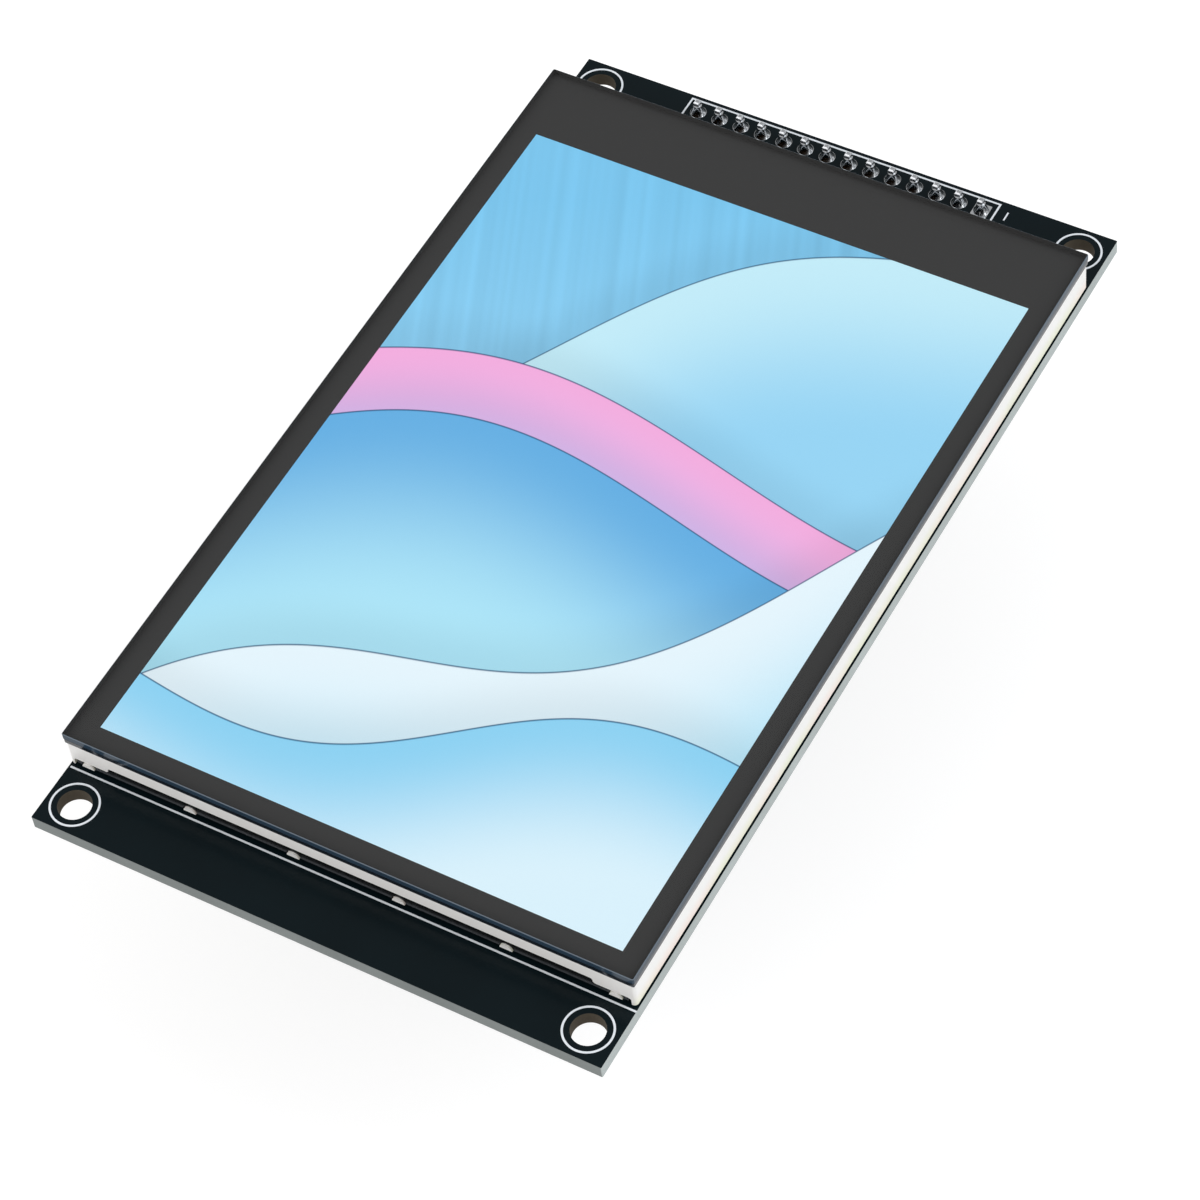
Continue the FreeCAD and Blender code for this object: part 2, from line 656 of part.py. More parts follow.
def trunnions(diameter, reach):
    length = 2 * reach
    return Part.makeCylinder(diameter / 2, length, vector(-reach, lever_pivot, lever_height), vector(1, 0, 0))


def socket_lever():
    # A flat bar with a full-round hinge edge, finger bevel at the free edge and a stub at each end.
    half = LEVER_THICKNESS / 2
    top = lever_height + half
    tip = socket_mouth
    x0 = -lever_half
    edges = [
        Part.makeLine(vector(x0, lever_pivot, lever_height - half), vector(x0, tip, lever_height - half)),
        Part.makeLine(vector(x0, tip, lever_height - half), vector(x0, tip, lever_height)),
        Part.makeLine(vector(x0, tip, lever_height), vector(x0, tip + half, top)),
        Part.makeLine(vector(x0, tip + half, top), vector(x0, lever_pivot, top)),
        Part.Arc(vector(x0, lever_pivot, top), vector(x0, lever_pivot + half, lever_height),
                 vector(x0, lever_pivot, lever_height - half)).toShape(),
    ]
    bar = Part.Face(Part.Wire(edges)).extrude(vector(2 * lever_half, 0, 0))
    return bar.fuse(trunnions(TRUNNION_DIAMETER, lever_half + TRUNNION_LENGTH)).removeSplitter()


def socket_housing():
    body = block(-socket_half, socket_half, socket_mouth, socket_back, 0, SOCKET_HEIGHT)
    lever_room = lever_half + LEVER_CLEARANCE
    mouth_bottom = lever_height - LEVER_THICKNESS / 2 - LEVER_CLEARANCE
    block_front = socket_back - SOCKET_BACK_BLOCK
    swing = block(-lever_room, lever_room, socket_mouth, block_front, mouth_bottom, SOCKET_HEIGHT)
    cable = block(-cable_half, cable_half, socket_mouth, block_front, SOCKET_FLOOR, mouth_bottom)
    throat = block(-cable_half, cable_half, block_front, block_front + SOCKET_BACK_BLOCK / 2,
                   SOCKET_FLOOR, mouth_bottom - LEVER_CLEARANCE)
    bearing = trunnions(TRUNNION_DIAMETER + 2 * TRUNNION_CLEARANCE,
                        lever_half + TRUNNION_LENGTH + TRUNNION_CLEARANCE)
    outer = [edge for edge in body.Edges if edge.CenterOfMass.z > SOCKET_HEIGHT - 0.01
             and abs(abs(edge.CenterOfMass.x) - socket_half) < 0.01]
    body = body.makeChamfer(LEVER_CLEARANCE * 2, outer)
    return body.cut([swing, cable, throat, bearing, socket_contacts(), socket_tabs()])


def socket_tabs():
    # Two tinned hold-down tabs, let into the ends of the housing.
    tabs = []
    middle = socket_mouth + SOCKET_DEPTH / 3
    for sign in (-1, 1):
        outer = sign * (socket_half + TAB_WIDTH / 2)
        inner = sign * (socket_half - TAB_THICKNESS)
        face = sign * socket_half
        profile = [(outer, 0), (outer, TAB_THICKNESS), (face, TAB_THICKNESS), (face, SOCKET_HEIGHT / 2),
                   (inner, SOCKET_HEIGHT / 2), (inner, 0)]
        points = [(x, middle - TAB_WIDTH / 2, z) for x, z in profile]
        tabs.append(prism(points, (0, TAB_WIDTH, 0)))
    return group(tabs)


# Memory card socket, drawn standing on the board with its mouth at the plain end

card_front = -board_length / 2 + CARD_SOCKET_EDGE_DISTANCE
card_back = card_front + CARD_SOCKET_LENGTH
card_half = CARD_SOCKET_WIDTH / 2
card_inner = card_half - CARD_SHELL_SHEET
card_ceiling = CARD_SOCKET_HEIGHT - CARD_SHELL_SHEET


def card_contact(x):
    # A spring strip: tail behind the base, flat in the base, then a long rising arm with a turned tip.
    thick = CONTACT_THICKNESS
    tail = card_back + CONTACT_TAIL
    root = card_back - 2 * CARD_BASE_RAIL
    tip = root - CARD_CONTACT_REACH
    high = CARD_BASE_THICKNESS + CARD_CONTACT_RISE
    half = CARD_CONTACT_WIDTH / 2
    points = [(tail, 0), (tail, thick), (card_back - thick, thick), (card_back - thick, CARD_BASE_THICKNESS),
              (root, CARD_BASE_THICKNESS), (tip + 1, high), (tip, high - 2 * thick), (tip, high - 3 * thick),
              (tip + 1, high - thick), (root, CARD_BASE_THICKNESS - thick),
              (card_back - 2 * thick, CARD_BASE_THICKNESS - thick), (card_back - 2 * thick, 0)]
    return prism([(x - half, y, z) for y, z in points], (2 * half, 0, 0))


def card_contacts():
    return group([card_contact(x) for x in centred_row(CARD_CONTACT_COUNT, CARD_CONTACT_PITCH)])


def card_base():
    # Plastic floor with a rail along each side, a stop across the back and a slot under every spring.
    floor = block(-card_inner, card_inner, card_front + CARD_BASE_RAIL, card_back, 0, CARD_BASE_THICKNESS)
    rails = []
    for sign in (-1, 1):
        x0, x1 = sorted((sign * card_inner, sign * (card_inner - CARD_BASE_RAIL)))
        rails.append(block(x0, x1, card_front + 2 * CARD_BASE_RAIL, card_back, 0, card_ceiling))
    rails.append(block(-card_inner, card_inner, card_back - CARD_BASE_RAIL, card_back, 0, card_ceiling))
    slots = []
    root = card_back - 2 * CARD_BASE_RAIL
    for x in centred_row(CARD_CONTACT_COUNT, CARD_CONTACT_PITCH):
        half = CARD_CONTACT_WIDTH / 2 + FIT_GAP
        slots.append(block(x - half, x + half, root - CARD_CONTACT_REACH - FIT_GAP, root, 0,
                           CARD_BASE_THICKNESS))
    return floor.fuse(rails).removeSplitter().cut(slots + [card_contacts()])


def card_shell():
    # Folded steel cover, open at the mouth, with a thumb bay, two windows and four solder tabs.
    shell = block(-card_half, card_half, card_front, card_back, 0, CARD_SOCKET_HEIGHT)
    folds = [edge for edge in shell.Edges if edge.CenterOfMass.z > CARD_SOCKET_HEIGHT - 0.01
             and abs(abs(edge.CenterOfMass.x) - card_half) < 0.01]
    shell = shell.makeFillet(CARD_SHELL_SHEET, folds)
    hollow = block(-card_inner, card_inner, card_front - 1, card_back + 1, -1, card_ceiling)
    bay = upright_cylinder(0, card_front - CARD_WINDOW_LENGTH / 2, card_ceiling, CARD_SOCKET_HEIGHT,
                           CARD_WINDOW_WIDTH + 2 * CARD_WINDOW_LENGTH / 2)
    windows = []
    middle = (card_front + card_back) / 2
    for sign in (-1, 1):
        x0, x1 = sorted((sign * CARD_WINDOW_WIDTH / 6, sign * CARD_WINDOW_WIDTH * 5 / 6))
        windows.append(block(x0, x1, middle, middle + CARD_WINDOW_LENGTH, card_ceiling, CARD_SOCKET_HEIGHT))
    shell = shell.cut([hollow, bay] + windows)
    tabs = []
    for sign in (-1, 1):
        for along in (card_front + CARD_TAB, card_back - 3 * CARD_TAB):
            x0, x1 = sorted((sign * card_half, sign * (card_half + CARD_TAB)))
            tabs.append(block(x0, x1, along, along + 2 * CARD_TAB, 0, CARD_SHELL_SHEET))
    return shell.fuse(tabs).removeSplitter()


# Small parts, drawn standing on the board, in two rows beside the ribbon socket

package_row_y = header_y - PACKAGE_ROW_HEADER_DISTANCE
chip_row_y = header_y - CHIP_ROW_HEADER_DISTANCE
regulator_centre = (REGULATOR_SIDE_DISTANCE - board_width / 2, package_row_y)
transistor_centre = (board_width / 2 - TRANSISTOR_SIDE_DISTANCE, package_row_y)


def moulded_body(centre, size):
    # A moulded package: straight up to the parting line, then drawn in by the draft.
    x, y = centre
    half_x = size[0] / 2
    half_y = size[1] / 2
    clearance = LEAD_THICKNESS / 2
    parting = size[2] / 2

    def outline(inset, z):
        return closed_wire([(x - half_x + inset, y - half_y + inset, z), (x + half_x - inset, y - half_y + inset, z),
                            (x + half_x - inset, y + half_y - inset, z), (x - half_x + inset, y + half_y - inset, z)])

    lower = Part.makeLoft([outline(MOULD_DRAFT, clearance), outline(0, parting)], True)
    upper = Part.makeLoft([outline(0, parting), outline(MOULD_DRAFT, size[2])], True)
    return lower.fuse(upper).removeSplitter()


def gull_lead(x, width, edge_y, reach, parting, direction):
    # A bent lead: leaves the package at the parting line, drops and lies flat on its pad.
    thick = LEAD_THICKNESS
    knee = edge_y + direction * reach / 2
    toe = edge_y + direction * reach
    root = edge_y
    points = [(root, parting), (knee, parting), (knee, thick), (toe, thick), (toe, 0),
              (knee - direction * thick, 0), (knee - direction * thick, parting - thick), (root, parting - thick)]
    return prism([(x - width / 2, y, z) for y, z in points], (width, 0, 0))


def regulator_leads():
    x, y = regulator_centre
    half_y = REGULATOR_SIZE[1] / 2
    parting = REGULATOR_SIZE[2] / 2
    leads = [gull_lead(along, REGULATOR_LEAD_WIDTH, y - half_y, REGULATOR_LEAD_REACH, parting, -1)
             for along in centred_row(3, REGULATOR_LEAD_PITCH, x)]
    leads.append(gull_lead(x, REGULATOR_TAB_WIDTH, y + half_y, REGULATOR_LEAD_REACH, parting, 1))
    return group(leads)


def regulator_body():
    return moulded_body(regulator_centre, REGULATOR_SIZE).cut(regulator_leads())


def transistor_leads():
    x, y = transistor_centre
    half_y = TRANSISTOR_SIZE[1] / 2
    parting = TRANSISTOR_SIZE[2] / 2
    leads = [gull_lead(x + side * TRANSISTOR_LEAD_PITCH, TRANSISTOR_LEAD_WIDTH, y - half_y,
                       TRANSISTOR_LEAD_REACH, parting, -1) for side in (-1, 1)]
    leads.append(gull_lead(x, TRANSISTOR_LEAD_WIDTH, y + half_y, TRANSISTOR_LEAD_REACH, parting, 1))
    return group(leads)


def transistor_body():
    return moulded_body(transistor_centre, TRANSISTOR_SIZE).cut(transistor_leads())


def chip_places(count, pitch, outermost, inwards):
    return [(outermost + inwards * index * pitch, chip_row_y) for index in range(count)]


def chip_bodies(places, height):
    half_x = CHIP_WIDTH / 2 - CHIP_CAP_SHEET
    half_y = CHIP_LENGTH / 2 - CHIP_CAP_SHEET
    return group([block(x - half_x, x + half_x, y - half_y, y + half_y, CHIP_CAP_SHEET, height - CHIP_CAP_SHEET)
                  for x, y in places])


def chip_caps(places, height):
    # Tinned caps that wrap both ends of every chip.
    bodies = chip_bodies(places, height)
    caps = []
    for x, y in places:
        for sign in (-1, 1):
            y0, y1 = sorted((y + sign * CHIP_LENGTH / 2, y + sign * (CHIP_LENGTH / 2 - CHIP_CAP_LENGTH)))
            caps.append(block(x - CHIP_WIDTH / 2, x + CHIP_WIDTH / 2, y0, y1, 0, height))
    return group([cap.cut(bodies) for cap in caps])


resistor_places = chip_places(RESISTOR_COUNT, RESISTOR_PITCH, board_width / 2 - RESISTOR_SIDE_DISTANCE, -1)
capacitor_places = chip_places(CAPACITOR_COUNT, CAPACITOR_PITCH, CAPACITOR_SIDE_DISTANCE - board_width / 2, 1)

nodes = {
    "circuit_board": circuit_board(),
    "header_housing": header_housing(),
    "header_pins": header_pins(),
    "header_solder": header_solder(),
    "mounting_tape": mounting_tape(),
    "steel_tray": steel_tray(),
    "light_frame": light_frame(),
    "reflector_film": film(tray_floor, REFLECTOR_THICKNESS, film_y),
    "light_guide": light_guide(),
    "led_strip": led_strip(),
    "leds": leds(),
    "diffuser_film": film(diffuser_bottom, FILM_THICKNESS, guide_end),
    "lower_prism_film": film(lower_prism_bottom, FILM_THICKNESS, guide_end),
    "upper_prism_film": film(upper_prism_bottom, FILM_THICKNESS, guide_end),
    "rim_tape": rim_tape(),
    "lower_polariser": polariser(cell_bottom),
    "tft_glass": block(-cell_x, cell_x, -cell_y, cell_y, tft_bottom, filter_bottom),
    "filter_glass": block(-cell_x, cell_x, -cell_y, filter_end, filter_bottom, upper_polariser_bottom),
    "upper_polariser": polariser(upper_polariser_bottom),
    "driver_chip": driver_chip(),
    "display_ribbon": display_ribbon(),
    "panel_gasket": panel_gasket(),
    "touch_ribbon": touch_ribbon(),
    "touch_controller": touch_controller(),
    "touch_sensor_glass": sheet(sensor_bottom, adhesive_bottom, FIT_GAP / 2),
    "optical_adhesive": optical_adhesive(),
    "border_print": border_print(),
    "cover_glass": cover_glass(),
    "ribbon_socket_housing": on_back(socket_housing()),
    "ribbon_socket_contacts": on_back(socket_contacts()),
    "ribbon_socket_tabs": on_back(socket_tabs()),
    "ribbon_socket_lever": on_back(socket_lever()),
    "card_socket_base": on_back(card_base()),
    "card_socket_contacts": on_back(card_contacts()),
    "card_socket_shell": on_back(card_shell()),
    "regulator_body": on_back(regulator_body()),
    "regulator_leads": on_back(regulator_leads()),
    "transistor_body": on_back(transistor_body()),
    "transistor_leads": on_back(transistor_leads()),
    "resistor_bodies": on_back(chip_bodies(resistor_places, RESISTOR_HEIGHT)),
    "resistor_caps": on_back(chip_caps(resistor_places, RESISTOR_HEIGHT)),
    "capacitor_bodies": on_back(chip_bodies(capacitor_places, CAPACITOR_HEIGHT)),
    "capacitor_caps": on_back(chip_caps(capacitor_places, CAPACITOR_HEIGHT)),
}

os.makedirs("parts", exist_ok=True)
for name, shape in nodes.items():
    shape.exportStep("parts/" + name + ".step")
    print(name, len(shape.Solids), "solids", round(shape.Volume, 3), "mm3", "valid" if shape.isValid() else "INVALID")
print("lever hinge", "y", round(lever_pivot, 4), "z", round(-lever_height, 4))
print("mounting holes", "spacing", round(2 * hole_x, 3), round(2 * hole_y, 3))
print("cover top", round(cover_top, 3), "header row y", round(header_y, 3))
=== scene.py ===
"""Looks of a four-inch touch display module on a black circuit board.

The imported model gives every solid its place. This script gives each of them its finish, and adds what
is printed, etched or soldered on the board: white ink, copper traces under the mask, tinned pads,
plated vias and smooth solder. Sizes are in millimetres, and MM turns them into metres.
"""

import logging
import math
from dataclasses import dataclass, field
from enum import Enum
from typing import Callable, Iterable, Optional, Sequence

import bmesh
import bpy
from mathutils import Matrix, Vector

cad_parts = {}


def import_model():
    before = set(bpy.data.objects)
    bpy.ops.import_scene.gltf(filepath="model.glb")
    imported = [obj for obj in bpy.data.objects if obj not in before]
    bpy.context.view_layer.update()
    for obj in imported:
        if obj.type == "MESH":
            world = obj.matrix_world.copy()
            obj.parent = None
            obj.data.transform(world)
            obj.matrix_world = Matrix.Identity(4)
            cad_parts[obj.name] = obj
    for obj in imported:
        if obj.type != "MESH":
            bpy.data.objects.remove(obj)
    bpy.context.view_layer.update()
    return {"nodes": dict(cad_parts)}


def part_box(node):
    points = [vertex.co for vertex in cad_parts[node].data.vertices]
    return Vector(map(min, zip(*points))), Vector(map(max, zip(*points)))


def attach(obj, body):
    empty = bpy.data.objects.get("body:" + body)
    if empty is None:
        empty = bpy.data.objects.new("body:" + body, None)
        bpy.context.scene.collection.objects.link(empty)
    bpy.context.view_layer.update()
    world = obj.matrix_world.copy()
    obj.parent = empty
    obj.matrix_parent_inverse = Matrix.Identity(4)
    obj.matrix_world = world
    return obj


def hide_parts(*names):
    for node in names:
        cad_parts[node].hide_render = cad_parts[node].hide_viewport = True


LOG = logging.getLogger("display_module")
MM = 0.001
MODULE = "module"
# Where most values of a noise lie
NOISE_SPAN = (0.3, 0.7)
# Least share of Z in the normal of a level face, and in that of a bevel
LEVEL_FACE = 0.97
BEVEL_FACE = 0.3

Point = tuple[float, float]
Socket = bpy.types.NodeSocket
Tree = bpy.types.NodeTree


class Side(Enum):
    """The two faces of the circuit board, as the direction that each one looks in."""

    SCREEN = 1
    BACK = -1


class End(Enum):
    """The two ends of a row of leads, along Y."""

    LOW = 0
    HIGH = 1


def linear(colour: str) -> tuple[float, float, float, float]:
    """Turns an sRGB hex colour into a linear one.

    Args:
        colour: six hex digits after a hash.

    Returns:
        Red, green and blue in linear light, and an alpha of 1.
    """
    parts = [int(colour[i : i + 2], 16) / 255 for i in (1, 3, 5)]
    light = [p / 12.92 if p <= 0.04045 else ((p + 0.055) / 1.055) ** 2.4 for p in parts]
    return light[0], light[1], light[2], 1.0


def add(tree: Tree, kind: str, inputs: Sequence | dict = (), out: Optional[str] = None,
        **settings: object) -> Socket:
    """Adds one shader node.

    Args:
        tree: the material's or world's node tree.
        kind: the node's type without its ShaderNode prefix.
        inputs: the values of its inputs, in their order or by their names. Each is a plain value, an sRGB
            colour or the output that feeds it.
        out: the output that is wanted, if it isn't the first one in use.
        settings: the node's own properties.

    Returns:
        That output, or None where the node has none.
    """
    node = tree.nodes.new("ShaderNode" + kind)
    for name, value in settings.items():
        setattr(node, name, value)
    named = isinstance(inputs, dict)
    sockets = [node.inputs[name] for name in inputs] if named else [s for s in node.inputs if s.enabled]
    for socket, value in zip(sockets, inputs.values() if named else inputs):
        if isinstance(value, Socket):
            tree.links.new(value, socket)
        else:
            socket.default_value = linear(value) if isinstance(value, str) else value
    return node.outputs[out] if out else next((s for s in node.outputs if s.enabled), None)


def coordinate(tree: Tree, axis: str, source: str = "Object") -> Socket:
    """Gives one axis of the place on the object, or of the face's normal.

    Args:
        tree: the material's node tree.
        axis: X, Y or Z.
        source: Object for the place, or Normal.

    Returns:
        The coordinate.
    """
    return add(tree, "SeparateXYZ", [add(tree, "TexCoord", out=source)], axis)


def leaning(tree: Tree, least: float) -> Socket:
    """Tells faces that look up or down from upright ones.

    Args:
        tree: the material's node tree.
        least: least share of Z in the face's normal, where 1 is a level face and 0 an upright one.

    Returns:
        A socket that is 1 from that share on and 0 below it.
    """
    upward = add(tree, "Math", [coordinate(tree, "Z", "Normal")], operation="ABSOLUTE")
    return add(tree, "Math", [upward, least], operation="GREATER_THAN")


# Finishes


@dataclass(frozen=True)
class Finish:
    """A plain surface with a slow drift of tone and a fine grain.

    Attributes:
        name: what the real material is called.
        colour: its sRGB colour.
        roughness: mean roughness of the surface.
        metallic: 1 for a bare metal.
        ior: index of refraction of a plastic, glass or lacquer.
        specular: how strong its plain reflection is, 0.5 being full.
        tone: share by which the tone drifts.
        tone_mm: width of the drifting patches.
        grain_mm: width of one grain.
        grain_um: height of the grain in thousandths of a millimetre.
        stretch: how much longer the grain is along X, Y and Z.
        rough_drift: share by which the roughness drifts with the grain.
    """

    name: str
    colour: str
    roughness: float = 0.4
    metallic: float = 0.0
    ior: float = 1.5
    specular: float = 0.5
    tone: float = 0.06
    tone_mm: float = 4.0
    grain_mm: float = 0.12
    grain_um: float = 2.0
    stretch: tuple[float, float, float] = (1.0, 1.0, 1.0)
    rough_drift: float = 0.15

    def build(self) -> bpy.types.Material:
        """Makes the material, with this finish's own pattern on it.

        Returns:
            The material.
        """
        material = bpy.data.materials.new(self.name)
        material.use_nodes = True
        tree = material.node_tree
        shader = tree.nodes["Principled BSDF"]
        values = {"Roughness": self.roughness, "Metallic": self.metallic, "Specular IOR Level": self.specular}
        if not self.metallic:
            values["IOR"] = self.ior
        for name, value in values.items():
            shader.inputs[name].default_value = value
        self.pattern(tree, shader)
        return material

    def pattern(self, tree: Tree, shader: bpy.types.Node) -> None:
        """Draws the surface's own pattern.

        Args:
            tree: the material's node tree.
            shader: its Principled node.
        """
        tree.links.new(self.paint(tree), shader.inputs["Base Color"])
        self.grain(tree, shader)

    def paint(self, tree: Tree) -> Socket:
        """Gives the colour all over the surface."""
        return self.toned(tree, self.colour)

    def place(self, tree: Tree) -> Socket:
        """Gives the place on the object, drawn out along the grain."""
        place = add(tree, "TexCoord", out="Object")
        return add(tree, "Mapping", {"Vector": place, "Scale": [1 / s for s in self.stretch]})

    def toned(self, tree: Tree, colour: str) -> Socket:
        """Lets a colour's tone drift slowly over the surface.

        Args:
            tree: the material's node tree.
            colour: the mean colour.

        Returns:
            The drifting colour.
        """
        place = self.place(tree)
        drift = add(tree, "TexNoise", {"Vector": place, "Scale": 1 / (self.tone_mm * MM), "Detail": 3.0})
        gain = add(tree, "MapRange", [drift, *NOISE_SPAN, 1 - self.tone, 1 + self.tone])
        return add(tree, "Mix", [1.0, colour, gain], data_type="RGBA", blend_type="MULTIPLY")

    def grain(self, tree: Tree, shader: bpy.types.Node) -> None:
        """Adds the fine grain to the height and the roughness.

        Args:
            tree: the material's node tree.
            shader: its Principled node.
        """
        place = self.place(tree)
        fine = add(tree, "TexNoise", {"Vector": place, "Scale": 1 / (self.grain_mm * MM), "Detail": 2.0})
        self.emboss(tree, shader, fine)
        limits = [self.roughness * (1 - self.rough_drift), self.roughness * (1 + self.rough_drift)]
        tree.links.new(add(tree, "MapRange", [fine, *NOISE_SPAN, *limits]), shader.inputs["Roughness"])

    def emboss(self, tree: Tree, shader: bpy.types.Node, height: Socket) -> None:
        """Raises the surface where a pattern is high.

        Args:
            tree: the material's node tree.
            shader: its Principled node.
            height: the pattern, from 0 to 1.
        """
        bump = add(tree, "Bump", {"Height": height, "Distance": self.grain_um * MM * MM})
        tree.links.new(bump, shader.inputs["Normal"])


@dataclass(frozen=True)
class MaskedLaminate(Finish):
    """Glass-epoxy laminate under a black solder mask.

    The faces are glossy and nearly black. The edges and the hole walls show the bare laminate, with its
    glass cloth as fine level lines.

    Attributes:
        core: colour of the bare laminate.
        cloth: colour of the glass cloth in it.
        cloth_share: how strongly the cloth's lines show.
        ply_mm: thickness of one ply of cloth.
        waver_mm: length of one waver of a ply.
        waver: how far a ply wavers, as an angle of its line pattern.
        bore: colour of a drilled wall, which is resin-smeared and brown.
        snapped: brightness of a short edge beside a long one, a painted shade that darkens the board's
        two short edges.
        cut_roughness: roughness of an edge or a drilled wall.
        half_size_mm: half the board's width and length, less a little, past which a wall is an outer edge.
    """

    core: str = "#b8bfbe"
    cloth: str = "#9aa19f"
    cloth_share: float = 0.7
    ply_mm: float = 0.2
    waver_mm: float = 0.5
    waver: float = 5.0
    bore: str = "#4d463b"
    snapped: float = 0.5
    cut_roughness: float = 0.75
    half_size_mm: Point = (30.8, 53.95)

    def paint(self, tree: Tree) -> Socket:
        """Gives the mask's colour on the faces and the cut laminate's on the walls."""
        flat = leaning(tree, LEVEL_FACE)
        return add(tree, "Mix", [flat, self.cut(tree), self.toned(tree, self.colour)], data_type="RGBA")

    def cut(self, tree: Tree) -> Socket:
        """Draws the laminate as its walls show it.

        Args:
            tree: the material's node tree.

        Returns:
            The colour of the edges and of the holes' walls.
        """
        rate = 2 * math.pi / (self.ply_mm * MM)
        plies = add(tree, "Math", [coordinate(tree, "Z"), rate], operation="MULTIPLY")
        place = self.place(tree)
        waver = add(tree, "TexNoise", {"Vector": place, "Scale": 1 / (self.waver_mm * MM), "Detail": 2.0})
        phase = add(tree, "Math", [waver, self.waver, plies], operation="MULTIPLY_ADD")
        wave = add(tree, "Math", [phase], operation="SINE")
        lines = add(tree, "MapRange", [wave, -1.0, 1.0, 0.0, self.cloth_share])
        edge = add(tree, "Mix", [lines, self.toned(tree, self.core), self.cloth], data_type="RGBA")
        within = []
        for axis, half in zip("XY", self.half_size_mm):
            reach = add(tree, "Math", [coordinate(tree, axis)], operation="ABSOLUTE")
            within.append(add(tree, "Math", [reach, half * MM], operation="LESS_THAN"))
        # Painted shade: the short edges at the two ends of the board are darkened
        gain = add(tree, "MapRange", [within[0], 0.0, 1.0, 1.0, self.snapped])
        edge = add(tree, "Mix", [1.0, edge, gain], data_type="RGBA", blend_type="MULTIPLY")
        drilled = add(tree, "Math", within, operation="MULTIPLY")
        return add(tree, "Mix", [drilled, edge, self.bore], data_type="RGBA")

    def grain(self, tree: Tree, shader: bpy.types.Node) -> None:
        """Lets the cloth wave the mask a little, and leaves the walls rough.

        Args:
            tree: the material's node tree.
            shader: its Principled node.
        """
        place = self.place(tree)
        cloth = add(tree, "TexNoise", {"Vector": place, "Scale": 1 / (self.grain_mm * MM), "Detail": 1.0})
        self.emboss(tree, shader, cloth)
        flat = leaning(tree, LEVEL_FACE)
        rough = add(tree, "Mix", [flat, self.cut_roughness, self.roughness], data_type="FLOAT")
        tree.links.new(rough, shader.inputs["Roughness"])


@dataclass(frozen=True)
class WhiteMoulding(Finish):
    """Injection-moulded white polycarbonate, with a painted cream glow drifting at the foot of its long
    sides.

    Attributes:
        warm: painted cream light at the foot of the long sides, for the films' light shining through.
        sheen: second colour of that painted light, which the first drifts to and fro along the frame.
        drift_mm: width of one patch of either.
        drift_span: values of the drift's noise between which one colour turns to the other.
        low_mm: height where the painted glow is full.
        high_mm: height where it is gone.
    """

    warm: str = "#eedfd6"
    sheen: str = "#e2e4cc"
    drift_mm: float = 9.0
    drift_span: Point = (0.4, 0.6)
    low_mm: float = 1.9
    high_mm: float = 3.9

    def paint(self, tree: Tree) -> Socket:
        """Blends the white and the painted cream glow by height, on the walls that look sideways.

        Args:
            tree: the material's node tree.

        Returns:
            The blended colour.
        """
        # Painted light: a cream glow on the side walls that fades out upwards, for the films' light shining
        # through
        low = add(tree, "MapRange", [coordinate(tree, "Z"), self.low_mm * MM, self.high_mm * MM, 1.0, 0.0],
                  interpolation_type="SMOOTHSTEP")
        sideways = add(tree, "Math", [coordinate(tree, "X", "Normal")], operation="ABSOLUTE")
        glow_share = add(tree, "Math", [low, sideways], operation="MULTIPLY")
        place = add(tree, "TexCoord", out="Object")
        patches = add(tree, "TexNoise", {"Vector": place, "Scale": 1 / (self.drift_mm * MM), "Detail": 1.0})
        share = add(tree, "MapRange", [patches, *self.drift_span])
        painted_tint = add(tree, "Mix", [share, self.warm, self.sheen], data_type="RGBA")
        return add(tree, "Mix", [glow_share, self.toned(tree, self.colour), painted_tint], data_type="RGBA")


class PaneUse(Enum):
    """What a flat pane of the touch panel shows on its broad faces."""

    OUTER = "outer"
    MASKED = "masked"
    INNER = "inner"


